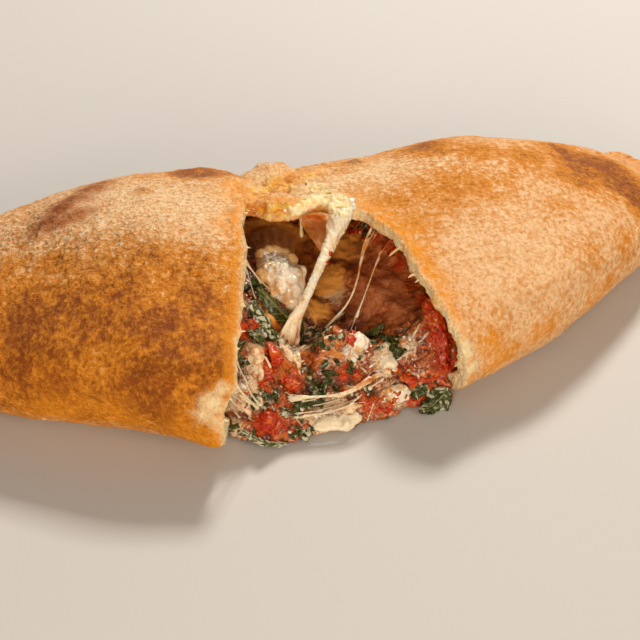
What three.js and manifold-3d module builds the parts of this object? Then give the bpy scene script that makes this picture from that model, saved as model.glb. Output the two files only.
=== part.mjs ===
/*
 * Calzone, broken open across the middle.
 *
 * A round of dough is folded over its filling and sealed along the back with a rolled rim. The crust
 * is then torn from the front: each half is turned back about an upright hinge line just behind the
 * back wall, so the roof and the front gape while the back of the crust still holds. The filling of
 * ricotta, tomato, spinach and melted cheese runs through both halves and slumps out of the mouth.
 *
 * Shapes are first set out on the unbroken calzone, in straight coordinates: "along" runs from the
 * left tip to the right tip, "across" from front (-) to back (+), and "up" from the plate. The
 * function bend() then turns the halves back. Millimetres, +Z up, the mouth faces -Y.
 */
import * as THREE from 'three';
import { mergeVertices } from 'three/addons/utils/BufferGeometryUtils.js';
import Module from 'manifold-3d';

const wasm = await Module();
wasm.setup();

/* ---------------------------------------------------------------- driving dimensions */

const HALF_LENGTH = 153;        // tear to tip, on each half
const WIDTH = 112;              // front to back at the middle, without the rim
const HEIGHT = 50;
const WIDEST_AT = 0.53;         // share of the height where a section is widest
const DOUGH = 4.6;              // crust thickness
const HOLLOW_LENGTH = 0.91;     // share of the length that the filling reaches

const TURN = THREE.MathUtils.degToRad(18);          // each half is turned back by this
const HINGE_GAP = 4;                                // hinge line to back wall
const HINGE = new THREE.Vector2(0, WIDTH / 2 + HINGE_GAP);
const HINGE_ARC = HINGE.y * TURN;                   // stretch of the middle that bends, each side
const SQUEEZED = 7;                                 // dough nearer the hinge line than this is squeezed
const HALF_SPAN = HINGE_ARC + HALF_LENGTH;          // middle to tip in straight coordinates

const TEAR_LEFT = THREE.MathUtils.degToRad(-15.4);  // torn edges, as angles about the hinge line
const TEAR_RIGHT = THREE.MathUtils.degToRad(25);
const ROOF_EDGE = 45;           // hinge line to the underside of the roof's torn lip
const ROOF_LEAN = 1.2;          // how far the lip leans back, for each mm up
const TORN_RAGGED = 1.1;        // how far the torn edges wander

const RIM_OUT = 7.5;            // rolled rim, half its depth
const RIM_UP = 5.2;             // rolled rim, half its height
const PLEAT = 15;               // one fold of the rim
const PUSHED_UP_FOLD = new THREE.Vector3(1.5, 39, 37.5);

const CLEARANCE = 0.45;         // between pieces that touch
const FINEST = 0.1;             // relief smaller than this is flattened in crust and filling
const FILLING_EDGE = 104.5;     // hinge line to the foot of the filling on the plate

/* ---------------------------------------------------------------- small helpers */

const { clamp, smoothstep, lerp } = THREE.MathUtils;

/** Smooth unevenness from -1 to 1 with lumps of about the given size. */
function uneven(x, y, z, size, seed = 0) {
  const k = (2 * Math.PI) / size;
  return (
    Math.sin(k * (0.93 * x + 0.41 * y + 0.22 * z) + 1.7 * seed) +
    Math.sin(k * (-0.48 * x + 0.81 * y + 0.37 * z) + 2.9 * seed + 1.3) +
    Math.sin(k * (0.31 * x - 0.52 * y + 0.88 * z) + 4.1 * seed + 2.1)
  ) / 3;
}

/** A rounded bump of height 1 at distance 0. */
function bump(distance, radius) {
  return Math.exp(-((distance / radius) ** 2));
}

/** Angle about the hinge line, distance from it, and height, as a point. */
function aboutHinge(angle, radius, up) {
  return new THREE.Vector3(HINGE.x + radius * Math.sin(angle), HINGE.y - radius * Math.cos(angle), up);
}

/** Straight calzone coordinates to the broken-open calzone. The back is squeezed up at the hinge. */
function bend(along, across, up) {
  const side = Math.sign(along);
  const angle = clamp(along / HINGE_ARC, -1, 1) * TURN;
  const beyond = Math.max(0, Math.abs(along) - HINGE_ARC);
  const radius = HINGE.y - across;
  const squeezed = radius < SQUEEZED ? SQUEEZED * Math.exp(radius / SQUEEZED - 1) : radius;
  const point = aboutHinge(angle, lerp(radius, squeezed, bump(beyond, 16)), up);
  point.x += side * beyond * Math.cos(TURN);
  point.y += beyond * Math.sin(TURN);
  return point;
}

/** Share of full size at a place along the calzone, 1 at the middle and 0 at the tips. */
function taper(along, halfSpan) {
  const beyond = Math.max(0, Math.abs(along) - HINGE_ARC);
  return Math.max(0, 1 - (beyond / (halfSpan - HINGE_ARC)) ** 2) ** 0.93;
}

/** Height of the crust at a place along it: the left half swells, the right sags at its torn end. */
function swell(along) {
  return 1 + 0.05 * bump(along + 50, 26) - 0.04 * bump(along + 14, 14)
    - 0.1 * bump(along - 34, 32) + 0.04 * bump(along - 92, 30);
}

/** How far the back wall is drawn in beside the hinge. */
function drawnIn(along) {
  return 2 * bump(along + 14, 12) + 5 * bump(along - 60, 28);
}

/** How far the left half bows forward towards its tip. */
function bow(along) {
  return -2.2 * smoothstep(-along, 70, 125);
}

/* ---------------------------------------------------------------- geometry to solid and back */

/** A closed three.js geometry as a solid. */
function solid(geometry) {
  const plain = geometry.clone();
  plain.deleteAttribute('normal');
  plain.deleteAttribute('uv');
  const merged = facingOut(mergeVertices(plain, 1e-4));
  return new wasm.Manifold(new wasm.Mesh({
    numProp: 3,
    vertProperties: new Float32Array(merged.attributes.position.array),
    triVerts: new Uint32Array(merged.index.array),
  }));
}

/** The largest single body of a solid as a three.js geometry. */
function geometryOf(manifold) {
  const bodies = manifold.decompose().sort((a, b) => b.volume() - a.volume());
  const mesh = bodies[0].getMesh();
  const geometry = new THREE.BufferGeometry();
  geometry.setAttribute('position', new THREE.BufferAttribute(mesh.vertProperties, 3));
  geometry.setIndex(new THREE.BufferAttribute(mesh.triVerts, 1));
  geometry.computeVertexNormals();
  return geometry;
}

/** Moves every vertex of a geometry by a function of its position. */
function reshape(geometry, moved) {
  const position = geometry.attributes.position;
  const point = new THREE.Vector3();
  for (let i = 0; i < position.count; i++) {
    point.fromBufferAttribute(position, i);
    position.setXYZ(i, ...moved(point).toArray());
  }
  return geometry;
}

/* ---------------------------------------------------------------- crust */

/**
 * A point of a section through the calzone. The angle starts at the back and runs over the top. The
 * upper part is a flat dome, and the lower part curls in to a flat base.
 */
function sectionPoint(angle, width, height) {
  const c = Math.cos(angle);
  const s = Math.sin(angle);
  const middle = WIDEST_AT * height;
  if (s >= 0) {
    return { across: (width / 2) * c, up: middle + (height - middle) * s ** 0.95 };
  }
  const drop = 1.15 * middle * Math.abs(s) ** 0.75;
  return { across: (width / 2) * Math.sign(c) * Math.abs(c) ** 0.55, up: Math.max(0, middle - drop) };
}

/**
 * A closed skin from tip to tip, made from a sphere whose poles go to the two tips. Its section at a
 * place along it is worked out by sectionAt, and push moves a point of it outwards.
 */
function skin({ halfSpan, around, lengthwise, sectionAt, push = () => 0 }) {
  return reshape(new THREE.SphereGeometry(1, around, lengthwise), (p) => {
    const along = halfSpan * (1 - (2 * Math.acos(clamp(p.y, -1, 1))) / Math.PI);
    const turn = Math.atan2(p.z, -p.x);
    const angle = turn - 0.25 * Math.sin(turn);      // closer together at the back
    const { width, height, base } = sectionAt(along, Math.abs(p.y) > 1 - 1e-9);
    const at = sectionPoint(angle, width, height);
    const out = push(along, angle);
    const across = at.across + bow(along) + out * Math.cos(angle)
      - drawnIn(along) * smoothstep(Math.cos(angle), 0, 0.9);
    const up = at.up + (at.up > 1 ? out * Math.sin(angle) : 0);
    return bend(along, across, base + Math.max(up, 0));
  });
}

/** The outside of the crust, before the rim is added and the front is torn. */
function outerSkin() {
  const sectionAt = (along) => {
    const size = taper(along, HALF_SPAN);
    return { width: WIDTH * size, height: HEIGHT * size * swell(along), base: 0 };
  };
  const push = (along, angle) => reliefAt(along, angle) * Math.min(1, 3 * taper(along, HALF_SPAN));
  return skin({ halfSpan: HALF_SPAN, around: 38, lengthwise: 42, sectionAt, push });
}

/** The hollow inside the crust. A positive shrink draws it in, for what lies inside with clearance. */
function innerSkin(shrink) {
  const reach = HINGE_ARC + HALF_LENGTH * HOLLOW_LENGTH;
  const sectionAt = (along, atTip) => {
    const size = taper(along, reach);
    const less = atTip ? Infinity : 2 * shrink;
    return {
      width: Math.max(0, (WIDTH - 2 * DOUGH) * size - less),
      height: Math.max(0, (HEIGHT - 2 * DOUGH) * size * swell(along) - less),
      base: DOUGH + shrink,
    };
  };
  return skin({ halfSpan: reach - 4 * shrink, around: 18, lengthwise: 24, sectionAt });
}

/** How far the crust bulges or dips: soft dents all over, and folds where the back is pinched. */
function reliefAt(along, angle) {
  const dents = 1.2 * uneven(along, 40 * Math.cos(angle), 40 * Math.sin(angle), 46, 1)
    + 0.6 * uneven(along, 50 * Math.cos(angle), 50 * Math.sin(angle), 23, 2);
  const pinched = bump(along, HINGE_ARC + 4) * smoothstep(Math.cos(angle), 0.1, 0.8);
  const folds = 2.2 * Math.sin((2 * Math.PI * along) / 13 + 1.5 * Math.sin(2 * angle));
  const cornerFlap = 5.5 * bump(Math.hypot(along + HINGE_ARC + 2, 45 * (angle + 2.75)), 13);
  return dents + pinched * folds + cornerFlap;
}

/** The rolled rim along the back seam, from tip to tip: a lumpy roll with a fold every PLEAT. */
function rolledRim() {
  return tube(66, 7, (t, turn, skin) => {
    const along = lerp(-1, 1, t) * (HALF_SPAN - 5);
    const size = taper(along, HALF_SPAN);
    const across = (WIDTH / 2) * size - 1 + bow(along) - drawnIn(along);
    const up = 3 + 0.38 * HEIGHT * swell(along) * size;
    const folded = 1 + 0.17 * Math.cos((2 * Math.PI * along) / PLEAT) + 0.08 * uneven(along, 0, 0, 31, 5);
    const thick = skin * folded * lerp(0.62, 1, smoothstep(size, 0, 0.35));
    const lean = turn + 0.5 * Math.sin((2 * Math.PI * along) / PLEAT);
    return bend(along, across + RIM_OUT * thick * Math.cos(lean), up + RIM_UP * thick * Math.sin(lean));
  });
}

/**
 * A closed tube. pointAt gives a point of it from how far along it is, 0 to 1, the angle round it,
 * and whether it is on the skin (1) or at the middle of an end (0).
 */
function tube(steps, sides, pointAt) {
  return reshape(new THREE.CylinderGeometry(1, 1, 1, sides, steps), (p) => (
    pointAt(p.y + 0.5, Math.atan2(p.z, p.x), Math.hypot(p.x, p.z))
  ));
}

/** Turns a closed geometry's faces the right way round, so that its volume is positive. */
function facingOut(geometry) {
  const position = geometry.attributes.position;
  const index = geometry.index;
  const [a, b, c] = [new THREE.Vector3(), new THREE.Vector3(), new THREE.Vector3()];
  let volume = 0;
  for (let i = 0; i < index.count; i += 3) {
    a.fromBufferAttribute(position, index.getX(i));
    b.fromBufferAttribute(position, index.getX(i + 1));
    c.fromBufferAttribute(position, index.getX(i + 2));
    volume += a.dot(b.cross(c));
  }
  if (volume < 0) {
    for (let i = 0; i < index.count; i += 3) {
      const first = index.getX(i);
      index.setX(i, index.getX(i + 1));
      index.setX(i + 1, first);
    }
  }
  return geometry;
}

/** Distance from the hinge line to the torn lip of the roof, from -1 at its left end to 1. */
function roofLip(sideways, up) {
  const ends = 8 * smoothstep(sideways, 0.6, 0.95) - 6 * smoothstep(-sideways, 0.45, 0.95);
  const lean = ROOF_LEAN * (HEIGHT - DOUGH - clamp(up, HEIGHT - 10, HEIGHT + 2));
  return ROOF_EDGE + ends + lean + 1.3 * uneven(19 * sideways, up, 0, 14, 3);
}

/** Angle of the left tear: it opens a little towards the plate. */
function leftTear(up) {
  return TEAR_LEFT - 0.05 * (1 - smoothstep(up, 16, 42));
}

/** Angle of the right tear: its lip reaches further forward over the shoulder of the crust. */
function rightTear(radius, up) {
  return TEAR_RIGHT - 0.072 * smoothstep(radius, 72, 98) + 0.03 * (1 - smoothstep(up, 8, 28));
}

/**
 * The wedge that the tear takes out of the crust, from the lip of the roof to well past the front.
 * A positive shrink draws its faces in, so that the filling made from it stands clear of the crust.
 */
function mouthWedge(shrink) {
  const farOut = WIDTH + 26;
  const below = -6;
  const above = HEIGHT + 18;
  return reshape(new THREE.BoxGeometry(2, 1, 1, 8, 16, 11), (p) => {
    const sideways = p.x;                            // -1 at the left tear, 1 at the right tear
    const outwards = p.y + 0.5;                      // 0 at the roof lip, 1 beyond the front
    const up = lerp(below, above, p.z + 0.5);
    const radius = lerp(roofLip(sideways, up) + shrink, farOut, outwards);
    const ragged = TORN_RAGGED * uneven(sideways * 40, radius, up, 17, 4) * Math.abs(sideways);
    const left = leftTear(up) + shrink / radius;
    const right = rightTear(radius, up) - shrink / radius;
    return aboutHinge(lerp(left, right, (sideways + 1) / 2) + ragged / radius, radius, up);
  });
}

/** The lump of dough that is pushed up behind the roof where the back wall is folded together. */
function pushedUpFold() {
  return reshape(new THREE.IcosahedronGeometry(1, 3), (p) => {
    const out = 1 + 0.09 * Math.sin(9 * p.x + 3 * p.y + 2 * p.z) + 0.05 * uneven(p.x, p.y, p.z, 1.1, 3);
    return new THREE.Vector3(10.5 * p.x, 9 * p.y, 8.5 * p.z).multiplyScalar(out).add(PUSHED_UP_FOLD);
  });
}

function makeCrust() {
  return solid(outerSkin())
    .add(solid(rolledRim()))
    .add(solid(pushedUpFold()))
    .subtract(solid(innerSkin(0)))
    .subtract(solid(mouthWedge(0)));
}

/* ---------------------------------------------------------------- filling */

/** Mounds and hollows of the filling in the mouth: place, spread and how far it rises. */
const MOUNDS = [
  { x: -6, y: 5, spread: 12, rise: 8 },              // under the ricotta
  { x: 5, y: -26, spread: 8.5, rise: 16 },           // sauce and cheese in the middle
  { x: 22, y: -31, spread: 12, rise: 8 },            // in front of the right half
  { x: 6, y: -2, spread: 9, rise: 3 },               // behind the pulled cheese
  { x: -2, y: -14, spread: 8, rise: -2 },            // hollow at the foot of the pulled cheese
  { x: -1, y: -37, spread: 6, rise: -4 },            // hollow below the stretched strands
];

/** Height of the filling's top over the plate, at a place in the mouth. */
function fillingTop(x, y) {
  const radius = Math.hypot(x - HINGE.x, y - HINGE.y);
  const angle = Math.atan2(x - HINGE.x, HINGE.y - y);
  const fromLeft = (angle - TEAR_LEFT) * radius;
  const fromRight = (TEAR_RIGHT - angle) * radius;
  let height = 10;
  const open = smoothstep(radius, 58, 80);           // 0 under the roof, 1 out in the mouth
  height += lerp(15, 20, open) * bump(Math.max(0, fromLeft), 12.5);
  height += lerp(1, 3, open) * Math.max(0, -fromLeft);
  height += 10 * bump(Math.max(0, fromRight), 12) + 24 * smoothstep(-fromRight, 8, 38);
  height += 9 * bump(fromRight, 8) * smoothstep(radius, 84, 96);
  for (const mound of MOUNDS) {
    height += mound.rise * bump(Math.hypot(x - mound.x, y - mound.y), mound.spread);
  }
  height += 1.1 * uneven(x, y, 0, 9, 6) + 0.7 * uneven(x, y, 0, 5.5, 7);
  const edge = FILLING_EDGE + 4.5 * smoothstep(-fromRight, -16, -6) + 4.5 * bump(fromLeft - 11, 9)
    + 1.2 * uneven(x, y, 0, 14, 8);
  const foot = (edge - radius) / 15;
  return foot > 0 ? height * Math.sqrt(Math.min(1, foot)) : 12 * foot;
}

/** Everything more than the given lift above the filling's top, in and around the mouth. */
function airAboveFilling(lift) {
  const [left, right, front, back] = [-38, 74, -58, 60];
  const high = HEIGHT + 25;
  return reshape(new THREE.BoxGeometry(1, 1, 1, 33, 35, 1), (p) => {
    const x = lerp(left, right, p.x + 0.5);
    const y = lerp(front, back, p.y + 0.5);
    return new THREE.Vector3(x, y, p.z > 0 ? high : Math.min(fillingTop(x, y) + lift, high - 1));
  });
}

/** Room for the filling and its pieces: the hollow and the mouth, clear of the crust all round. */
function roomInside() {
  const plate = new THREE.BoxGeometry(4 * WIDTH, 4 * WIDTH, 20).translate(0, 0, -10);
  return solid(innerSkin(CLEARANCE)).add(solid(mouthWedge(CLEARANCE))).subtract(solid(plate));
}

/* ---------------------------------------------------------------- pieces in the filling */

/** The point of the filling, or of the plate in front of it, at a place in plan. */
function onFilling(x, y) {
  return new THREE.Vector3(x, y, Math.max(0, fillingTop(x, y)));
}

/** The way the filling faces at a place in plan, evened out over a few millimetres. */
function filledNormal(x, y) {
  const reach = 1.6;
  const alongX = onFilling(x + reach, y).sub(onFilling(x - reach, y));
  const alongY = onFilling(x, y + reach).sub(onFilling(x, y - reach));
  return alongX.cross(alongY).normalize();
}

/**
 * A leaf draped over the filling: a thin wavy sheet with the same grid on both faces. Its line and
 * width are in plan.
 */
function leaf({ line, width, lift = 1.5, wave = 0.35, thickness = 0.9 }) {
  const lengthwise = 8;
  const sideways = 4;
  const curve = new THREE.CatmullRomCurve3(line.map(([x, y]) => new THREE.Vector3(x, y, 0)));
  const points = [];
  for (const face of [1, -1]) {
    for (let i = 0; i <= lengthwise; i++) {
      const t = i / lengthwise;
      const tangent = curve.getTangentAt(t);
      const half = (width / 2) * Math.sin(Math.PI * lerp(0.1, 0.93, t)) ** 0.8;
      for (let j = 0; j <= sideways; j++) {
        const across = (2 * j) / sideways - 1;
        const flat = curve.getPointAt(t).add(new THREE.Vector3(-tangent.y, tangent.x, 0)
          .multiplyScalar(across * half));
        const raised = lift + wave * Math.sin(9 * t + 2.5 * across) + (face * thickness) / 2;
        points.push(onFilling(flat.x, flat.y).addScaledVector(filledNormal(flat.x, flat.y), raised));
      }
    }
  }
  return twoFaced(points, lengthwise, sideways);
}

/** The web of cheese between the roof and the pulled column: a thin sheet that bulges inwards. */
function web({ left, right, drop, down, bulge, thickness = 0.8 }) {
  const [rows, columns] = [4, 5];
  const [from, to] = [new THREE.Vector3(...left), new THREE.Vector3(...right)];
  const [short, long] = [new THREE.Vector3(...drop), new THREE.Vector3(...down)];
  const points = [];
  for (const face of [1, -1]) {
    for (let i = 0; i <= rows; i++) {
      for (let j = 0; j <= columns; j++) {
        const [u, v] = [i / rows, j / columns];
        const inwards = bulge * Math.sin(Math.PI * v) * Math.sin(Math.PI * u) ** 0.7
          - (face * thickness) / 2;
        points.push(from.clone().lerp(to, u)
          .addScaledVector(short.clone().lerp(long, u), v)
          .add(new THREE.Vector3(0.2 * inwards, inwards, 0)));
      }
    }
  }
  return twoFaced(points, rows, columns);
}

/** A sheet as a closed geometry, from the grid of its upper face followed by that of its lower. */
function twoFaced(points, rows, columns) {
  const under = (rows + 1) * (columns + 1);
  const at = (i, j) => i * (columns + 1) + j;
  const index = [];
  for (let i = 0; i < rows; i++) {
    for (let j = 0; j < columns; j++) {
      const [a, b, c, d] = [at(i, j), at(i + 1, j), at(i + 1, j + 1), at(i, j + 1)];
      index.push(a, b, c, a, c, d);
      index.push(under + a, under + c, under + b, under + a, under + d, under + c);
    }
  }
  const border = [];
  for (let i = 0; i < rows; i++) border.push(at(i, 0));
  for (let j = 0; j < columns; j++) border.push(at(rows, j));
  for (let i = rows; i > 0; i--) border.push(at(i, columns));
  for (let j = columns; j > 0; j--) border.push(at(0, j));
  border.forEach((a, k) => {
    const b = border[(k + 1) % border.length];
    index.push(a, under + a, under + b, a, under + b, b);
  });
  return new THREE.BufferGeometry().setFromPoints(points).setIndex(index);
}

/** A strand of melted cheese: a tube along a smooth line, with a radius for each of its points. */
function strand({ line, radii, sides = 6, steps = 12 }, grow = 0) {
  const curve = new THREE.CatmullRomCurve3(line.map((p) => new THREE.Vector3(...p)));
  const frames = curve.computeFrenetFrames(steps);
  return tube(steps, sides, (t, turn, skin) => {
    const ring = Math.round(t * steps);
    const place = t * (radii.length - 1);
    const before = Math.min(Math.floor(place), radii.length - 2);
    const radius = skin * (lerp(radii[before], radii[before + 1], place - before) + 1.15 * grow);
    const end = { 0: -grow, [steps]: grow }[ring] ?? 0;
    return curve.getPointAt(ring / steps)
      .addScaledVector(frames.tangents[ring], end)
      .addScaledVector(frames.normals[ring], radius * Math.cos(turn))
      .addScaledVector(frames.binormals[ring], radius * Math.sin(turn));
  });
}

/** A lump of tomato or cheese sunk into the filling: an uneven ball, turned about the upright. */
function lump({ at, half, heading = 0, lumps = 0.16, detail = 2, seed = 1 }, grow = 0) {
  const turn = THREE.MathUtils.degToRad(heading);
  const centre = onFilling(at[0], at[1]);
  centre.z += at[2];
  return reshape(new THREE.IcosahedronGeometry(1, detail), (p) => {
    const out = 1 + lumps * uneven(p.x, p.y, p.z, 1.9, seed);
    const local = new THREE.Vector3(
      p.x * (half[0] * out + grow),
      p.y * (half[1] * out + grow),
      p.z * (half[2] * out + grow),
    );
    return local.applyAxisAngle(new THREE.Vector3(0, 0, 1), turn).add(centre);
  });
}

/** The pieces that show, each with the shape that makes it. Strands span the mouth, the rest lies. */
const PIECES = {
  cheese_pull: {
    shape: strand, finish: 'cheese', sides: 8, steps: 16,
    line: [[19, 12.3, 43.5], [12, 1.4, 38.5], [6, -5.4, 34.5], [0.2, -11.7, 28.5], [-5.2, -14.5, 21.5],
      [-7.5, -15.5, 15.5]],
    radii: [3.1, 2.4, 1.9, 1.6, 1.8, 3.4],
  },
  cheese_web: {
    shape: web, finish: 'cheese', left: [5.5, 11.8, 43.8], right: [16, 8.6, 43.4],
    drop: [-0.5, -0.5, -2.5], down: [-6.5, -9.5, -7.5], bulge: 3.4,
  },
  cheese_strand_back: {
    shape: strand, finish: 'cheese',
    line: [[27.6, 0.9, 41.6], [22.6, -2.2, 39], [19.6, -7.2, 33.5], [16.1, -11.6, 27],
      [10.3, -13.4, 20.5], [2.2, -12.6, 15.5]],
    radii: [1.3, 0.8, 0.8, 1, 1.5, 1.7],
  },
  cheese_strand_thin: {
    shape: strand, finish: 'cheese', sides: 5,
    line: [[30.4, -4.6, 41.4], [26.3, -7.2, 38.8], [22.6, -10.9, 33.4], [18.2, -14.6, 26],
      [12.1, -21, 19.4]],
    radii: [1.1, 0.8, 0.7, 0.6, 0.9],
  },
  cheese_strand_front: {
    shape: strand, finish: 'cheese', steps: 14,
    line: [[-13.5, -39, 13], [-7, -40, 12.3], [-0.4, -40.8, 12], [5.5, -41.8, 12.3],
      [11.5, -39.8, 13.6], [18.5, -37, 14.5]],
    radii: [0.9, 0.9, 1.2, 2, 1.7, 1.4],
  },
  cheese_thread_front: {
    shape: strand, finish: 'cheese', sides: 5,
    line: [[-14, -43, 8], [-5.2, -43.4, 7.3], [2.4, -43.6, 8], [12.5, -41.4, 10]],
    radii: [0.6, 0.5, 0.5, 0.7],
  },
  cheese_strand_left: {
    shape: strand, finish: 'cheese', steps: 9,
    line: [[-22.2, -30.2, 29.6], [-19.6, -31.8, 26.4], [-16.6, -33.6, 20.8]],
    radii: [1.4, 1.3, 0.8],
  },
  cheese_strand_corner: {
    shape: strand, finish: 'cheese', steps: 9,
    line: [[-26.2, -37, 21.5], [-25, -39.6, 17.6], [-22.6, -42.4, 13.4]],
    radii: [1.2, 1.4, 1.1],
  },
  ricotta_mound: {
    shape: lump, finish: 'ricotta', at: [-5, 6, -1.5], half: [9.5, 9.5, 8.5], detail: 3, lumps: 0.14,
  },
  ricotta_middle: {
    shape: lump, finish: 'ricotta', at: [12.5, -28, -0.4], half: [4, 3.6, 3.2], detail: 2, seed: 2,
  },
  ricotta_front: {
    shape: lump, finish: 'ricotta', at: [22.5, -38.6, -0.6], half: [4.2, 3.6, 3.4], detail: 2, seed: 3,
  },
  cheese_smear: {
    shape: lump, finish: 'cheese', at: [20.5, -32.4, -0.5], half: [4.4, 2.4, 2.2], heading: -35, seed: 8,
  },
  cheese_puddle: {
    shape: lump, finish: 'cheese', at: [1, -43, -0.6], half: [10, 3.6, 2.2], detail: 2, seed: 4,
    heading: 3,
  },
  tomato_front: {
    shape: lump, finish: 'tomato', at: [-20.6, -43.4, -1.4], half: [3.4, 3.2, 4], seed: 5,
  },
  tomato_left: {
    shape: lump, finish: 'tomato', at: [-19.6, -20.4, -0.6], half: [2.6, 2.6, 2.8], seed: 6,
  },
  tomato_ridge: {
    shape: lump, finish: 'tomato', at: [-15.6, -27.6, -0.8], half: [3, 6, 2.6], seed: 10,
    heading: 18,
  },
  tomato_valley: {
    shape: lump, finish: 'tomato', at: [-11.6, -35, -0.5], half: [3.8, 2.4, 2.2], seed: 7,
    heading: -30,
  },
  tomato_middle: {
    shape: lump, finish: 'tomato', at: [13, -22.6, 0.6], half: [2.6, 1.9, 1.9], seed: 8,
  },
  tomato_crumbs: {
    shape: lump, finish: 'tomato', at: [27.5, -36.6, 0.6], half: [3.4, 2.4, 2.4], seed: 12,
    heading: 10,
  },
  tomato_right: {
    shape: leaf, finish: 'tomato', line: [[37, -24.5], [38.4, -31], [39.6, -37.5]], width: 4.4,
    thickness: 1.3,
  },
  spinach_under_ricotta: {
    shape: leaf, finish: 'spinach', line: [[-14, -3.5], [-9.5, -7], [-4.5, -7.5], [1, -5]], width: 5.5,
  },
  spinach_striped: {
    shape: leaf, finish: 'spinach', line: [[-17.2, -11], [-15.2, -16], [-12.6, -21.5]], width: 6.2,
  },
  spinach_left: {
    shape: leaf, finish: 'spinach', line: [[-19.6, -24.6], [-20.2, -27], [-20.4, -29.4]], width: 3.6,
    wave: 0.2,
  },
  spinach_middle: {
    shape: leaf, finish: 'spinach', line: [[17.5, -20.4], [21, -19.8], [24.5, -21]], width: 4, lift: 1.8,
  },
  spinach_front: {
    shape: leaf, finish: 'spinach', line: [[29, -44], [34, -42.6], [39, -40.8]], width: 7,
  },
  spinach_stem: {
    shape: strand, finish: 'spinach', sides: 5, steps: 9,
    line: [[-27.8, -42.2, 5.2], [-25, -45.4, 3.4], [-20.4, -47.4, 2], [-15.5, -47.6, 1.6]],
    radii: [1.5, 1.2, 1, 0.7],
  },
};

/* ---------------------------------------------------------------- the calzone */

const FINISHES = {
  crust: { color: 0xd79a55, roughness: 0.75, metalness: 0 },
  filling: { color: 0xb0603a, roughness: 0.4, metalness: 0 },
  ricotta: { color: 0xe9dcc8, roughness: 0.3, metalness: 0 },
  cheese: { color: 0xf0dfb8, roughness: 0.3, metalness: 0 },
  tomato: { color: 0xc4281a, roughness: 0.3, metalness: 0 },
  spinach: { color: 0x33482a, roughness: 0.4, metalness: 0 },
};

/** Adds a named piece with a material of its own. */
function addPiece(group, name, geometry, finish) {
  const mesh = new THREE.Mesh(geometry, new THREE.MeshStandardMaterial(FINISHES[finish]));
  mesh.name = name;
  group.add(mesh);
}

function makeCalzone() {
  const group = new THREE.Group();
  const crust = makeCrust();
  addPiece(group, 'crust', geometryOf(crust.simplify(FINEST)), 'crust');

  const room = roomInside();
  const filling = room.subtract(solid(airAboveFilling(0)));
  const clearOfFilling = solid(airAboveFilling(CLEARANCE + FINEST));
  let taken = null;
  for (const [name, piece] of Object.entries(PIECES)) {
    const whole = solid(piece.shape(piece)).intersect(room).intersect(clearOfFilling);
    const seated = taken ? whole.subtract(taken) : whole;
    const cutter = solid(piece.shape(piece, CLEARANCE + FINEST));
    addPiece(group, name, geometryOf(seated), piece.finish);
    taken = taken ? taken.add(cutter) : cutter;
  }
  addPiece(group, 'filling', geometryOf(filling.simplify(FINEST)), 'filling');

  const box = new THREE.Box3().setFromObject(group);
  group.position.set(-(box.min.x + box.max.x) / 2, -(box.min.y + box.max.y) / 2, -box.min.z);
  return group;
}

export default makeCalzone();
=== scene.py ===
"""Dresses the broken-open calzone: its baked crust, its wet filling and the cheese stretched across it.

Every size is in metres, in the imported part's own frame: +X from the left tip to the right tip, +Y from
the mouth to the seam at the back, +Z up. Places that are given as (across, down) are points of the
640 by 640 view: a sight line through that point finds the surface that carries the piece or the stain.
"""

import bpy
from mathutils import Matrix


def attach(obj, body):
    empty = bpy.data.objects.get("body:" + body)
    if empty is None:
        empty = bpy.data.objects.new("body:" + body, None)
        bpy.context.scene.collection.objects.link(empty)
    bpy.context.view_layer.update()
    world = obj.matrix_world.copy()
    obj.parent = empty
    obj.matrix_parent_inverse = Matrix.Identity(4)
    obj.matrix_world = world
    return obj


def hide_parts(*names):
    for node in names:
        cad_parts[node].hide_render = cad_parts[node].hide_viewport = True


bl_info = {
    "name": "Broken-open calzone",
    "version": (1, 0, 0),
    "blender": (4, 5, 0),
    "location": "View3D > Sidebar > Calzone",
    "description": "Bakes the crust, fills it and stretches the cheese across its torn mouth",
    "category": "Add Mesh",
}

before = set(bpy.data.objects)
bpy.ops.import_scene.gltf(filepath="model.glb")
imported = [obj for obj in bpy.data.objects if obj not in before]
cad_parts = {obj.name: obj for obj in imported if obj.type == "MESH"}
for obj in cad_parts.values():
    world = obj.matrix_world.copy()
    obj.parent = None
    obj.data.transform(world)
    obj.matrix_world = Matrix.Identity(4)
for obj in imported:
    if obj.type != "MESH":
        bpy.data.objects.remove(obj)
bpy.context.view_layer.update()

import itertools
import math
from types import SimpleNamespace

import bmesh
import bpy
import numpy as np
from bpy.props import FloatProperty, FloatVectorProperty, PointerProperty
from bpy.types import Operator, Panel, PropertyGroup
from mathutils import Matrix, Vector
from mathutils.bvhtree import BVHTree
from mathutils.kdtree import KDTree

MM = 0.001

# ------------------------------------------------------------------ how the calzone lies

HINGE = np.array((0.34, 49.80)) * MM      # the upright line that both halves are turned back about
HINGE_BACK = 60 * MM                      # from the middle of the unbroken calzone to that line
TURN = math.radians(18)                   # how far each half is turned back
HEIGHT = 50 * MM
MOUTH_MIDDLE = 10 * MM                    # how far right of the middle the mouth lies
PLATE_GAP = 0.02 * MM                     # between the small pieces and what the calzone rests on

# ------------------------------------------------------------------ the view

VIEW_SIDE = 640                           # points across and down
VIEW_AIM = Vector((9.53, -7.00, 7.09)) * MM
VIEW_DISTANCE = 760 * MM
VIEW_TURN = math.radians(-15.5)
VIEW_RISE = math.radians(38)
LENS = 129.4                              # mm
SENSOR = 36.0                             # mm


def view_axes():
    """The camera's right, up and backward directions."""
    back = Vector((
        math.sin(VIEW_TURN) * math.cos(VIEW_RISE),
        -math.cos(VIEW_TURN) * math.cos(VIEW_RISE),
        math.sin(VIEW_RISE),
    ))
    right = Vector((math.cos(VIEW_TURN), math.sin(VIEW_TURN), 0))
    return right, back.cross(right), back


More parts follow.
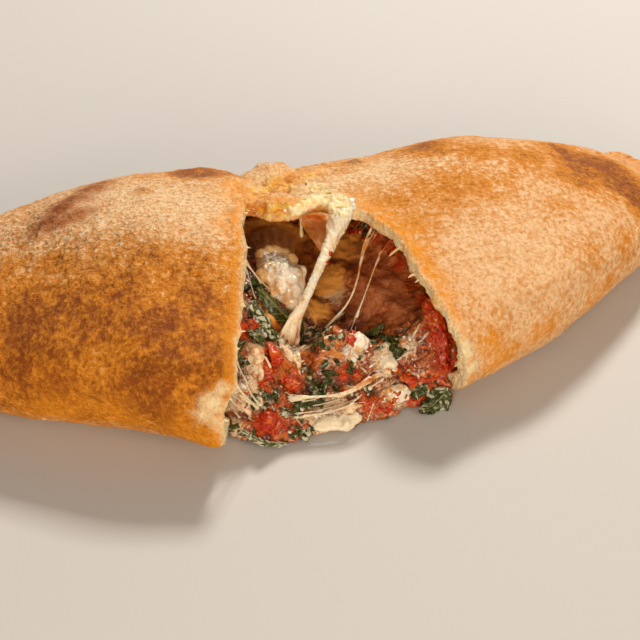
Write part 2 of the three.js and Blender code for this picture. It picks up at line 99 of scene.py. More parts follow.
def sight_line(across, down):
    """Start and direction of the line of sight through a point of the view."""
    right, up, back = view_axes()
    focal = LENS / SENSOR * VIEW_SIDE
    middle = VIEW_SIDE / 2
    direction = right * (across - middle) / focal - up * (down - middle) / focal - back
    return VIEW_AIM + back * VIEW_DISTANCE, direction.normalized()


def passing(place):
    """Where the sight line through a place of the view passes the middle of the calzone."""
    start, direction = sight_line(*place)
    return start + direction * VIEW_DISTANCE


def landing(tree, place):
    """Where the sight line through a place of the view meets a surface, or comes nearest to it."""
    found = tree.ray_cast(*sight_line(*place))[0]
    return np.array(tree.find_nearest(passing(place))[0] if found is None else found)


# ------------------------------------------------------------------ unevenness


SCATTER = 73856093, 19349663, 83492791, 26544357, 1274126177    # large numbers that mix whole numbers up
WORD = 0xFFFFFFFF                                               # the bits that are kept of them
HALF_WORD = 0xFFFF


def hashed(cell, seed):
    """A repeatable number from 0 to 1 for each whole-numbered cell."""
    mixed = (cell[:, 0] * SCATTER[0]) ^ (cell[:, 1] * SCATTER[1]) ^ (cell[:, 2] * SCATTER[2])
    mixed = (mixed ^ (seed * SCATTER[3])) & WORD
    mixed = ((mixed ^ (mixed >> 13)) * SCATTER[4]) & WORD
    return ((mixed ^ (mixed >> 16)) & HALF_WORD) / HALF_WORD


def lumps(points, size, seed):
    """Smooth unevenness from -1 to 1, with lumps of the given size."""
    scaled = points / size + 7.31 * seed
    low = np.floor(scaled).astype(np.int64)
    part = scaled - low
    fade = part * part * (3 - 2 * part)
    total = np.zeros(len(points))
    for corner in itertools.product((0, 1), repeat=3):
        share = np.prod(np.where(corner, fade, 1 - fade), axis=1)
        total += share * hashed(low + corner, seed)
    return 2 * total - 1


def rough(points, size, seed, rounds=3):
    """Unevenness at several sizes at once, each half as large and half as strong as the last."""
    total = sum(lumps(points, size / 2**k, seed + k) / 2**k for k in range(rounds))
    return total / (2 - 2 ** (1 - rounds))


def drift(points, size, seed):
    """Smooth unevenness in all three directions at once."""
    return np.stack([lumps(points, size, seed + k) for k in range(3)], axis=1)


def ridges(points, size, seed):
    """Sharp-topped folds from 0 in the furrows to 1 on the ridges."""
    return 1 - np.abs(lumps(points, size, seed)) * 2


def pits(points, size, seed):
    """Distance to the nearest of evenly scattered points, from 0 at a point to about 1 between."""
    scaled = points / size
    low = np.floor(scaled).astype(np.int64)
    nearest = np.full(len(points), 9.0)
    for corner in itertools.product((-1, 0, 1), repeat=3):
        cell = low + corner
        offset = np.stack([hashed(cell, seed + k) for k in range(3)], axis=1)
        nearest = np.minimum(nearest, np.linalg.norm(cell + offset - scaled, axis=1))
    return np.clip(nearest, 0, 1)


def ramp(value, low, high):
    """0 below low, 1 above high, and smooth between them."""
    share = np.clip((value - low) / (high - low), 0, 1)
    return share * share * (3 - 2 * share)


def bell(distance, reach):
    """1 at no distance, about a third at the reach, and nearly 0 beyond twice that."""
    return np.exp(-((distance / reach) ** 2))


# ------------------------------------------------------------------ meshes as arrays


def rows_of(items, field, width, kind=np.float32):
    """One field of all the items of a mesh, a row for each."""
    flat = np.empty(len(items) * width, kind)
    items.foreach_get(field, flat)
    return flat.reshape(-1, width)


def points_of(mesh):
    """Where the points of a mesh are."""
    return rows_of(mesh.vertices, "co", 3).astype(float)


def facing_of(mesh):
    """Which way a mesh faces at each of its points."""
    return rows_of(mesh.vertex_normals, "vector", 3).astype(float)


def edges_of(mesh):
    """The two points that each edge of a mesh joins."""
    return rows_of(mesh.edges, "vertices", 2, np.int32)


def stained(mesh, name):
    """The numbers that a stain has stored."""
    return rows_of(mesh.attributes[name].data, "value", 1)[:, 0]


def place_points(mesh, points):
    """Moves the points of a mesh."""
    mesh.vertices.foreach_set("co", points.astype(np.float32).ravel())
    mesh.update()


def pushed(mesh, points, height):
    """Points moved the way that the mesh faces, each by its own height."""
    return points + facing_of(mesh) * height[:, None]


def lifted(points, gap=PLATE_GAP):
    """Keeps points at least a gap above what the calzone rests on."""
    points[:, 2] = np.maximum(points[:, 2], gap)
    return points


def between_places(start, end, share):
    """Points at given shares of the way from one place to another."""
    return start + share[:, None] * (end - start)


def stain(mesh, name, values):
    """Stores a number for each point of a mesh, for its material to read."""
    layer = mesh.attributes.get(name) or mesh.attributes.new(name, "FLOAT", "POINT")
    layer.data.foreach_set("value", np.clip(values, 0, 1).astype(np.float32))


def spread(values, edges, rounds, share=0.5):
    """Evens out a value, or a place, between neighbours along the edges."""
    columns = values.reshape(len(values), -1).copy()
    count = np.maximum(np.bincount(edges.ravel(), minlength=len(columns)), 1)
    first, second = edges[:, 0], edges[:, 1]
    for _ in range(rounds):
        for k in range(columns.shape[1]):
            column = columns[:, k]
            total = np.bincount(first, weights=column[second], minlength=len(column))
            total += np.bincount(second, weights=column[first], minlength=len(column))
            columns[:, k] = column + share * (total / count - column)
    return columns.reshape(values.shape)


def evened(points, edges, rounds):
    """Rounds off a mesh, with a step back after each step so that it doesn't shrink."""
    for _ in range(rounds):
        for share in (0.6, -0.62):
            points = spread(points, edges, 1, share)
    return points


def thinned(piece, hidden, share):
    """Merges the small faces of a piece where it is hidden, down to a share of all its faces."""
    group = piece.vertex_groups.new(name="hidden")
    group.add(np.flatnonzero(hidden > 0.5).tolist(), 1.0, "REPLACE")
    merge = piece.modifiers.new("fewer faces", "DECIMATE")
    merge.ratio = share
    merge.vertex_group = "hidden"
    apply_modifiers(piece)


def apply_modifiers(piece):
    """Makes what the modifiers of a piece show its own mesh."""
    graph = bpy.context.evaluated_depsgraph_get()
    mesh = bpy.data.meshes.new_from_object(piece.evaluated_get(graph))
    old = piece.data
    piece.modifiers.clear()
    piece.data = mesh
    bpy.data.meshes.remove(old)
    return mesh


def one_skin(piece, voxel):
    """Gives a piece one skin of small even faces."""
    skin = piece.modifiers.new("one skin", "REMESH")
    skin.mode = "VOXEL"
    skin.voxel_size = voxel
    return apply_modifiers(piece)


def new_object(name, data):
    """An object that is in the scene."""
    made = bpy.data.objects.new(name, data)
    bpy.context.scene.collection.objects.link(made)
    return made


def recast(node, name, voxel):
    """A piece with the shape of a solid of the part, in even small faces that can take relief."""
    piece = new_object(name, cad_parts[node].data.copy())
    one_skin(piece, voxel)
    return piece


def seat(piece, material, slot, *nodes):
    """Finishes a piece: smooth faces, its material, and the solids that it stands for."""
    if not piece.data.polygons:
        raise RuntimeError(f"{piece.name} has no faces")
    piece.data.materials.clear()
    piece.data.materials.append(material)
    piece.data.shade_smooth()
    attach(piece, "root")
    if nodes:
        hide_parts(*nodes)
    return piece


def new_piece(name, points, faces):
    """A piece made from its points and faces."""
    mesh = bpy.data.meshes.new(name)
    mesh.from_pydata([tuple(p) for p in points], [], [tuple(f) for f in faces])
    mesh.update()
    return new_object(name, mesh)


def tree_of(points, mesh):
    """A search tree over a mesh whose points are given."""
    faces = [tuple(p.vertices) for p in mesh.polygons]
    return BVHTree.FromPolygons([Vector(p) for p in points], faces)


def node_tree_of(name):
    """A search tree over a solid of the part."""
    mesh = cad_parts[name].data
    return tree_of(points_of(mesh), mesh)


# ------------------------------------------------------------------ strands, leaves and crumbs

BACKWARD = (0.25, 0.9, 0.35)              # a direction that few strands run in, into the mouth and up


def drawn(path, steps):
    """An even, rounded line of rows through the rows of a path."""
    path = np.asarray(path, float)
    along = np.concatenate([[0], np.cumsum(np.linalg.norm(np.diff(path[:, :3], axis=0), axis=1))])
    even = np.linspace(0, along[-1], steps)
    line = np.stack([np.interp(even, along, column) for column in path.T], axis=1)
    for _ in range(max(1, steps // 5)):
        line[1:-1] = (line[:-2] + 2 * line[1:-1] + line[2:]) / 4
    return line


def middle_line(points, count):
    """The middle line of a long solid, with its half width and half thickness at every slice."""
    middle = points.mean(axis=0)
    axes = np.linalg.svd(points - middle, full_matrices=False)[2]
    reach = (points - middle) @ axes[0]
    edges = np.linspace(reach.min(), reach.max(), count + 1)
    rows = []
    for low, high in zip(edges[:-1], edges[1:]):
        part = points[(reach >= low) & (reach <= high)]
        centre = part.mean(axis=0)
        across = (part - centre) @ axes[1:].T
        wide, thick = np.sqrt(2 * across.var(axis=0))
        rows.append([*centre, wide, thick])
    rows = np.array(rows)
    start, end = 1.5 * rows[0] - 0.5 * rows[1], 1.5 * rows[-1] - 0.5 * rows[-2]
    return np.maximum(np.vstack([start, rows, end]), [-9, -9, -9, 0.15 * MM, 0.15 * MM]), axes


def across_of(line, away):
    """Two directions square to a line at each of its points, the second as close to away as it can be."""
    ahead = np.gradient(line, axis=0)
    ahead /= np.linalg.norm(ahead, axis=1, keepdims=True)
    side = np.cross(ahead, away)
    side /= np.linalg.norm(side, axis=1, keepdims=True)
    return side, np.cross(side, ahead)


def ring_faces(rows, sides):
    """The faces of a closed tube of rows of points."""
    faces = []
    for row in range(rows - 1):
        for k in range(sides):
            first, second = row * sides + k, row * sides + (k + 1) % sides
            faces.append((first, second, second + sides, first + sides))
    faces.append(tuple(reversed(range(sides))))
    faces.append(tuple((rows - 1) * sides + k for k in range(sides)))
    return faces


def strand(line, radius, seed, sides=10, fibre=0.3):
    """A drawn strand along a line, with long fibres in its surface."""
    side, up = across_of(line, BACKWARD)
    angle = np.linspace(0, 2 * math.pi, sides, endpoint=False)
    ring = np.cos(angle)[None, :, None] * side[:, None] + np.sin(angle)[None, :, None] * up[:, None]
    along = np.linspace(0, 1, len(line))[:, None] * np.ones(sides)
    where = np.stack([1.6 * np.cos(angle) + 0 * along, 1.6 * np.sin(angle) + 0 * along, 4 * along], axis=2)
    swell = 1 + fibre * rough(where.reshape(-1, 3), 0.8, seed, 2).reshape(along.shape)
    radius = radius * np.sqrt(np.clip(1 - np.linspace(-1, 1, len(line)) ** 24, 0.03, 1))
    points = line[:, None] + ring * (radius[:, None] * swell)[:, :, None]
    return points.reshape(-1, 3), ring_faces(len(line), sides)


def flared(radius, flare, reach):
    """Widens a line of radii where it grows out of what carries its two ends."""
    steps = np.arange(len(radius)) / (len(radius) - 1)
    ends = bell(steps, reach) + bell(1 - steps, reach)
    return radius * (1 + flare * ends)


def ribbon(line, half_width, away, thickness, ruffle, seed):
    """A thin wavy leaf along a line, two faces and the rim between them, and where its veins run."""
    side, up = across_of(line, away)
    columns = 21
    share = np.linspace(-1, 1, columns)
    along = np.linspace(0, 1, len(line))
    grid = np.stack(np.meshgrid(along * 5, share * 1.5, [0.5], indexing="ij"), axis=-1).reshape(-1, 3)
    wave = rough(grid, 0.7, seed, 2).reshape(len(line), columns)
    ragged = rough(grid * (1, 0.3, 1), 0.45, seed + 5, 2).reshape(len(line), columns)
    reach = half_width[:, None] * share * (1 + 0.35 * ragged * np.abs(share))
    rise = ruffle * wave * (0.3 + np.abs(share) ** 1.5) - 0.35 * half_width[:, None] * np.abs(share)
    veins = leaf_veins(along[:, None] * 6 + 0.15 * wave, share + 0.12 * ragged)
    rise = rise + 0.3 * thickness * veins
    sheet = line[:, None] + side[:, None] * reach[:, :, None] + up[:, None] * rise[:, :, None]
    top = (sheet + up[:, None] * thickness / 2).reshape(-1, 3)
    bottom = (sheet - up[:, None] * thickness / 2).reshape(-1, 3)
    return np.vstack([top, bottom]), sheet_faces(len(line), columns), np.tile(veins.ravel(), 2)


def leaf_veins(along, share):
    """A middle rib and slanted side veins, 1 on a vein and 0 between."""
    slanted = np.mod(along + 1.1 * np.abs(share), 1) - 0.5
    return np.maximum(bell(share, 0.1), 0.8 * bell(slanted, 0.14))


def sheet_faces(rows, columns):
    """The faces of a thin closed sheet: its top, its underside and the rim."""
    size = rows * columns
    faces = []
    for row in range(rows - 1):
        for k in range(columns - 1):
            a = row * columns + k
            faces.append((a, a + 1, a + columns + 1, a + columns))
            faces.append(tuple(size + c for c in (a + columns, a + columns + 1, a + 1, a)))
    rim = [*range(columns)]
    rim += [row * columns + columns - 1 for row in range(1, rows)]
    rim += [(rows - 1) * columns + k for k in range(columns - 2, -1, -1)]
    rim += [row * columns for row in range(rows - 2, 0, -1)]
    for first, second in zip(rim, rim[1:] + rim[:1]):
        faces.append((second, first, size + first, size + second))
    return faces


def joined(name, parts):
    """One piece out of many small closed meshes."""
    points, faces, start = [], [], 0
    for part_points, part_faces in parts:
        points.append(part_points)
        faces += [tuple(start + k for k in face) for face in part_faces]
        start += len(part_points)
    return new_piece(name, np.vstack(points), faces)


def turns(facing, tilt, draw):
    """Rotations that lay copies on a surface, spun by chance and tilted a little."""
    up = facing + tilt * draw.normal(size=facing.shape)
    up /= np.linalg.norm(up, axis=1, keepdims=True)
    side = np.cross(up, draw.normal(size=facing.shape))
    side /= np.linalg.norm(side, axis=1, keepdims=True)
    return np.stack([side, np.cross(up, side), up], axis=2)


def round_grain():
    """A small ball of 42 points."""
    ball = bmesh.new()
    bmesh.ops.create_icosphere(ball, subdivisions=2, radius=1)
    points = np.array([v.co[:] for v in ball.verts])
    faces = [[v.index for v in f.verts] for f in ball.faces]
    ball.free()
    return points, faces


def flat_scrap():
    """A small thin sheet, longer than it is wide."""
    rows, columns, half = 5, 4, (0, 0, 0.07)
    square = np.meshgrid(np.linspace(-1, 1, rows), np.linspace(-0.7, 0.7, columns), [0.0], indexing="ij")
    flat = np.stack(square, axis=-1).reshape(-1, 3)
    points = np.vstack([flat + half, flat - half])
    return points, sheet_faces(rows, columns)


def strewn(name, shape, places, facing, sizes, draw, uneven, stretch=(1, 1, 1), tilt=0.5):
    """Many uneven copies of a small shape, each in a chance tone, laid at places and joined to one piece."""
    points, faces = shape
    count, size = len(places), len(points)
    offset = draw.uniform(0, 50, (count, 1, 3))
    many = (points[None] + offset).reshape(-1, 3)
    bend = drift(many, 1.1, 60).reshape(count, size, 3)
    copies = (points[None] + uneven * bend) * stretch
    copies = np.einsum("nij,nkj->nki", turns(facing, tilt, draw), copies) * sizes[:, None, None]
    copies = lifted((copies + places[:, None]).reshape(-1, 3))
    starts = np.arange(count)[:, None, None] * size
    corners = (starts + np.array(faces)[None]).reshape(-1, len(faces[0]))
    piece = new_piece(name, copies, corners.tolist())
    stain(piece.data, "tone", np.repeat(draw.uniform(0, 1, count), size))
    return piece


def fused(name, parts, voxel, rounds):
    """One soft piece out of closed meshes that run into one another."""
    return run_together(joined(name, parts), voxel, rounds)


def run_together(piece, voxel, rounds):
    """Gives a piece of many closed meshes one skin, and softens it."""
    mesh = one_skin(piece, voxel)
    place_points(mesh, lifted(spread(points_of(mesh), edges_of(mesh), rounds)))
    return piece


def rumpled(piece, height, size, seed):
    """Gives a piece lumps of its own."""
    points = points_of(piece.data)
    place_points(piece.data, lifted(pushed(piece.data, points, height * rough(points, size, seed))))


SPREAD = 0.35                             # how much chance sizes differ
CATCH = 9 * MM                            # the ends of strands are bent onto what lies within this
AIR = 4 * MM                              # the clear height that small things on the filling need


class Carriers:
    """The dressed surfaces that small things lie on, and the chance draws for placing them."""

    def __init__(self, names, seed):
        self.draw = np.random.default_rng(seed)
        self.trees = {}
        for name in names:
            mesh = bpy.data.objects[name].data
            self.trees[name] = tree_of(points_of(mesh), mesh)

    def seen(self, place):
        """The nearest surface along a line of sight, as its name, point and facing."""
        start, direction = sight_line(*place)
        best = None
        for name, tree in self.trees.items():
            found, facing, _, distance = tree.ray_cast(start, direction)
            if found is not None and (best is None or distance < best[3]):
                best = name, np.array(found), np.array(facing), distance
        return best

    def spot(self, place):
        """The point that a line of sight meets, or the nearest one where it only just misses."""
        hit = self.seen(place)
        return hit[1] if hit else self.nearest(passing(place))

    def scattered(self, beds, wanted):
        """Chance points in beds, each a place, its reach across and down, a count and a mean size in mm."""
        points, facings, sizes = [], [], []
        for (across, down), reach_across, reach_down, count, size in beds:
            for _ in range(count):
                shift = self.draw.normal(size=2) * (reach_across, reach_down) * 0.6
                hit = self.seen((across + shift[0], down + shift[1]))
                if hit and hit[0] in wanted:
                    points.append(hit[1])
                    facings.append(hit[2])
                    sizes.append(size * MM * self.draw.lognormal(0, SPREAD))
        return np.array(points), np.array(facings), np.array(sizes)

    def over(self, count, size):
        """Chance points all over the lumpy, open part of the filling in the mouth, with sizes in mm."""
        mesh = bpy.data.objects["ricotta_filling"].data
        points, facing = points_of(mesh), facing_of(mesh)
        low, high = np.array(MOUTH) * MM
        smooth = np.maximum.reduce([stained(mesh, name) for name in ("walled", "oiled", "creamy")])
        inside = np.all((points > low) & (points < high), axis=1) & (smooth < 0.35)
        chosen = self.draw.choice(np.flatnonzero(inside), count, replace=False)
        kept = [k for k in chosen if self.open_air(points[k], facing[k])]
        return points[kept], facing[kept], size * MM * self.draw.lognormal(0, SPREAD, len(kept))

    def scattered_and_over(self, beds, wanted, count, size):
        """Chance points in beds, followed by others all over the filling."""
        both = self.scattered(beds, wanted), self.over(count, size)
        return [np.concatenate(columns) for columns in zip(*both)]

    def nearest(self, point):
        """The nearest point of any of the surfaces."""
        found = [tree.find_nearest(Vector(point)) for tree in self.trees.values()]
        return np.array(min(found, key=lambda hit: hit[3])[0])

    def caught(self, path):
        """A line with both its ends bent onto the nearest surface that carries it."""
        share = np.linspace(0, 1, len(path))
        bent = path.copy()
        for end, away in ((0, share), (-1, 1 - share)):
            weight = np.clip(1 - away / 0.3, 0, 1)
            shift = self.nearest(path[end]) - path[end]
            reach = np.linalg.norm(shift)
            if reach < CATCH:
                bent += (weight**2)[:, None] * shift * (1 + 0.5 * MM / max(reach, 0.2 * MM))
        return bent

    def rivulet(self, name, start, heading, steps, step):
        """A line that runs over a surface from a start, keeping to a heading."""
        tree, line = self.trees[name], [np.array(start)]
        for _ in range(steps):
            heading = heading + 0.35 * self.draw.normal(size=3)
            heading = heading / np.linalg.norm(heading)
            line.append(np.array(tree.find_nearest(Vector(line[-1] + heading * step))[0]))
        return drawn(line, 3 * steps)

    def bundle(self, line, radius, fibres, splay, seed):
        """A strand of melted cheese: a core, and fibres wound round it that part where it holds on."""
        draw = np.random.default_rng(seed)
        side, up = across_of(line, BACKWARD)
        share = np.linspace(0, 1, len(line))
        parts = [strand(self.caught(line), flared(0.7 * radius, 0.3, 0.08), seed, 10, 0.35)]
        for k in range(fibres):
            turn = 2 * math.pi * k / fibres + draw.uniform(-3, 3) * (share - 0.5)
            away = draw.uniform(0.5, 1.0) * radius
            away = away + draw.uniform(0.3, 1.0) * splay * (bell(share, 0.17) + bell(1 - share, 0.17))
            path = line + side * (np.cos(turn) * away)[:, None] + up * (np.sin(turn) * away)[:, None]
            thin = draw.uniform(0.25, 0.5) * radius.mean() * np.ones(len(line))
            parts.append(strand(self.caught(path), flared(thin, 0.5, 0.1), seed + k, 6, 0.2))
        return parts

    def open_air(self, point, facing):
        """Whether there is air over a point of the filling, with nothing else lying on it."""
        start = Vector(point + facing * 0.5 * MM)
        others = (tree for name, tree in self.trees.items() if name != "ricotta_filling")
        return all(tree.ray_cast(start, Vector(facing), AIR)[0] is None for tree in others)


# ------------------------------------------------------------------ straight coordinates


def straighten(points):
    """Along, across and up on the unbroken calzone, for points of the broken-open one, and its turn."""
    away = points[:, :2] - HINGE
    angle = np.arctan2(away[:, 0], -away[:, 1])
    turned = np.clip(angle, -TURN, TURN)
    outward = away[:, 0] * np.sin(turned) - away[:, 1] * np.cos(turned)
    sideways = away[:, 0] * np.cos(turned) + away[:, 1] * np.sin(turned)
    along = turned * HINGE_BACK + sideways
    return np.stack([along, HINGE_BACK - outward, points[:, 2]], axis=1), turned


def straighten_facing(facing, turned):
    """The same for directions."""
    sideways = facing[:, 0] * np.cos(turned) + facing[:, 1] * np.sin(turned)
    outward = facing[:, 0] * np.sin(turned) - facing[:, 1] * np.cos(turned)
    return np.stack([sideways, -outward, facing[:, 2]], axis=1)


SPOT_END = 3.2                            # a spot is looked for within this many times its reach
SPOT_WANDER = 0.35                        # how uneven the outline of a spot is


def spots_on(tree, points, spots):
    """How strongly each point is marked by spots, each a place of the view, a reach in mm and a strength."""
    marked = np.zeros(len(points))
    for place, reach, strength in spots:
        size = reach * MM
        distance = np.linalg.norm(points - landing(tree, place), axis=1)
        near = distance < SPOT_END * size
        uneven = 1 + SPOT_WANDER * rough(points[near], 0.9 * size, 40, 2)
        marked[near] = np.maximum(marked[near], strength * bell(distance[near] * uneven, size))
    return marked


# ------------------------------------------------------------------ materials


def linear(hexcode):
    """A colour for the shader from its sRGB hex value."""
    parts = [int(hexcode[k:k + 2], 16) / 255 for k in (1, 3, 5)]
    return [c / 12.92 if c <= 0.04045 else ((c + 0.055) / 1.055) ** 2.4 for c in parts] + [1.0]


PER_MM = 1000                             # patches in a metre where each is 1 mm wide
NODES = {                                 # node, the inputs or settings that values fill, output, settings
    "place": ("TexCoord", (), "Object", {}),
    "squeezed": ("Mapping", ("Vector", "Scale"), "Vector", {}),
    "stain": ("Attribute", ("attribute_name",), "Fac", {}),
    "noise": ("TexNoise", ("Vector", "Scale", "Detail", "Roughness", "Distortion"), "Fac", {}),
    "range": ("MapRange", ("Value", "From Min", "From Max", "To Min", "To Max"), "Result",
              {"interpolation_type": "SMOOTHSTEP"}),
    "mix": ("Mix", (0, 6, 7), 2, {"data_type": "RGBA"}),
    "bump": ("Bump", ("Height", "Strength", "Distance"), "Normal", {}),
    "principled": ("BsdfPrincipled", (), 0, {}),
    "end": ("OutputMaterial", ("Surface",), None, {}),
}
NODES |= {name: ("Math", (0, 1, 2), 0, {"operation": operation}) for name, operation in (
    ("sum", "ADD"), ("less", "SUBTRACT"), ("times", "MULTIPLY"), ("times_plus", "MULTIPLY_ADD"),
    ("larger", "MAXIMUM"),
)}


def add(tree, kind, *values, **named):
    """Adds a node and gives its output. A socket among the values is linked, and anything else is set."""
    node, fields, output, settings = NODES[kind]
    made = tree.nodes.new("ShaderNode" + node)
    for field, value in (*settings.items(), *zip(fields, values), *named.items()):
        if isinstance(field, str) and field not in made.inputs:
            setattr(made, field, value)
        elif isinstance(value, bpy.types.NodeSocket):
            tree.links.new(value, made.inputs[field])
        else:
            made.inputs[field].default_value = value
    return None if output is None else made.outputs[output]


def new_material(name):
    """An empty material and its tree of nodes."""
    material = bpy.data.materials.new(name)
    material.use_nodes = True
    material.node_tree.nodes.clear()
    return material, material.node_tree


def in_place(tree, scale=(1, 1, 1)):
    """The place on the piece, squeezed by a scale to draw patterns out."""
    return add(tree, "squeezed", add(tree, "place"), scale)


def swing(tree, value, strength):
    """A value from 0 to 1 turned to one about 0, from minus to plus half the strength."""
    return add(tree, "times_plus", value, strength, -0.5 * strength)


def varied(tree, value, *patterns):
    """A value made uneven by patterns, each with its strength."""
    for pattern, strength in patterns:
        value = add(tree, "sum", value, swing(tree, pattern, strength))
    return value


def tinted(tree, colour, tint, *reach):
    """A colour laid over another where a value passes from low to high."""
    return add(tree, "mix", add(tree, "range", *reach), colour, tint)


def surface(tree, **inputs):
    """Ends a material in one principled shader. The names have _ for a space."""
    named = {name.replace("_", " "): value for name, value in inputs.items()}
    add(tree, "end", add(tree, "principled", **named))


def baked_dough(look):
    """Wheat dough baked on stone: dry and sandy on top, golden where it swelled, charred at blisters."""
    material, tree = new_material("baked wheat dough, stone-baked")
    place = in_place(tree)
    sand = add(tree, "noise", place, PER_MM / 1.4, 3, 0.65)
    dust = add(tree, "noise", place, PER_MM / 0.55, 2, 0.6)   # flour, drawn coarse enough to show
    freckle = add(tree, "noise", place, PER_MM / 3.0, 5, 0.7, 0.3)
    colour = dry_skin(tree, look, place, sand, freckle)
    flour = add(tree, "times", add(tree, "stain", "floured"), add(tree, "range", dust, 0.36, 0.6))
    colour = add(tree, "mix", flour, colour, look.flour)
    glaze = add(tree, "range", freckle, 0.36, 0.56, 0.4, 1.0)
    glaze = add(tree, "times", add(tree, "stain", "oiled"), glaze)
    colour = add(tree, "mix", glaze, colour, look.glaze)
    char = varied(tree, add(tree, "stain", "charred"), (freckle, 0.9), (sand, 0.8))
    colour = tinted(tree, colour, look.char, char, 0.0, 1.0)
    colour = tinted(tree, colour, look.dark, char, 0.7, 1.4, 0, 0.85)
    raw = varied(tree, add(tree, "stain", "raw"), (freckle, 1.0))
    colour = tinted(tree, colour, look.raw, raw, 0.2, 0.9)
    colour = torn_flesh(tree, look, place, colour)
    gloss = add(tree, "larger", glaze, add(tree, "stain", "lined"))
    gloss = add(tree, "larger", gloss, add(tree, "times", add(tree, "range", dust, 0.6, 0.66), 0.8))
    crease = add(tree, "noise", in_place(tree, (0.8, 1, 1)), PER_MM / 2.6, 3, 0.6, 0.3)
    folded = add(tree, "times_plus", add(tree, "stain", "wrinkled"), 4.5, 0.7)
    height = add(tree, "times_plus", crease, folded, add(tree, "times", sand, 1.5))
    surface(tree, Base_Color=colour, Roughness=add(tree, "range", gloss, 0.0, 1.0, 0.58, 0.32), IOR=1.45,
            Specular_IOR_Level=0.25, Normal=add(tree, "bump", height, 1.0, 1.0 * MM), Subsurface_Weight=0.06,
            Subsurface_Radius=(2.0, 0.9, 0.4), Subsurface_Scale=1.0 * MM)
    return material


def dry_skin(tree, look, place, sand, freckle):
    """The skin of the crust, from pale to dark brown, with light grains and toasted specks in it, and
    painted highlight and painted shade along the folds and on the grains.
    """
    cloud = add(tree, "noise", place, PER_MM / 12, 4, 0.6, 0.5)
    streak = add(tree, "noise", in_place(tree, (1, 0.6, 0.6)), PER_MM / 1.8, 3, 0.6, 0.3)
    fold = add(tree, "noise", in_place(tree, (0.7, 1, 1)), PER_MM / 2.2, 4, 0.65, 0.3)
    # The browned stain holds the baking, and also painted shade on the left half's front.
    baked = add(tree, "stain", "browned")
    baked = varied(tree, baked, (freckle, 1.2), (cloud, 0.8), (streak, 0.8), (sand, -0.9))
    # Light and dark streaks along the folds of the wrinkled shoulder are painted highlight and painted
    # shade, standing in for the shading of the wrinkles.
    wrinkle = add(tree, "times_plus", add(tree, "stain", "wrinkled"), 1.0, 0.8)
    baked = add(tree, "sum", baked, add(tree, "times", swing(tree, fold, -1.0), wrinkle))
    colour = tinted(tree, look.pale, look.golden, baked, -0.25, 0.6)
    colour = tinted(tree, colour, look.brown, baked, 0.42, 1.2)
    colour = tinted(tree, colour, look.dark, baked, 1.1, 1.8)
    dry = add(tree, "range", baked, 0.0, 0.9, 0.9, 0.3)
    dry = add(tree, "times", dry, add(tree, "range", add(tree, "stain", "sandy"), 0.0, 1.0, 0.5, 1.0))
    # The sand pattern also raises the bump, so the light grains sit on the raised grain and the toasted
    # specks in the pits between: flour and toasted specks, and also painted highlight and painted shade. The
    # baked value above turns paler where the sand rises, the same painted highlight.
    grain = add(tree, "times", add(tree, "range", sand, 0.51, 0.61), dry)
    light = tinted(tree, look.flour, look.amber, baked, 0.05, 0.5)
    colour = add(tree, "mix", grain, colour, light)
    speck_and_pit_shade = add(tree, "times", add(tree, "range", sand, 0.46, 0.36), add(tree, "times", dry, 0.7))
    return add(tree, "mix", speck_and_pit_shade, colour, look.toasted)


def torn_flesh(tree, look, place, colour):
    """White crumb where the crust is torn, orange where oil soaked it, and the oily inner side."""
    pore = add(tree, "noise", place, PER_MM / 0.9, 3, 0.6)
    flesh = tinted(tree, look.crumb_deep, look.crumb, pore, 0.32, 0.56)
    shred = add(tree, "noise", in_place(tree, (0.4, 1, 1)), PER_MM / 2.6, 4, 0.6, 0.8)
    soaked = tinted(tree, look.soaked, look.flesh, shred, 0.38, 0.58)
    flesh = add(tree, "mix", add(tree, "stain", "soaked"), flesh, soaked)
    colour = add(tree, "mix", add(tree, "stain", "crumb"), colour, flesh)
    wet = add(tree, "noise", place, PER_MM / 6, 4, 0.6, 0.5)
    lining = tinted(tree, look.lining, look.lining_deep, wet, 0.38, 0.62)
    return add(tree, "mix", add(tree, "stain", "lined"), colour, lining)


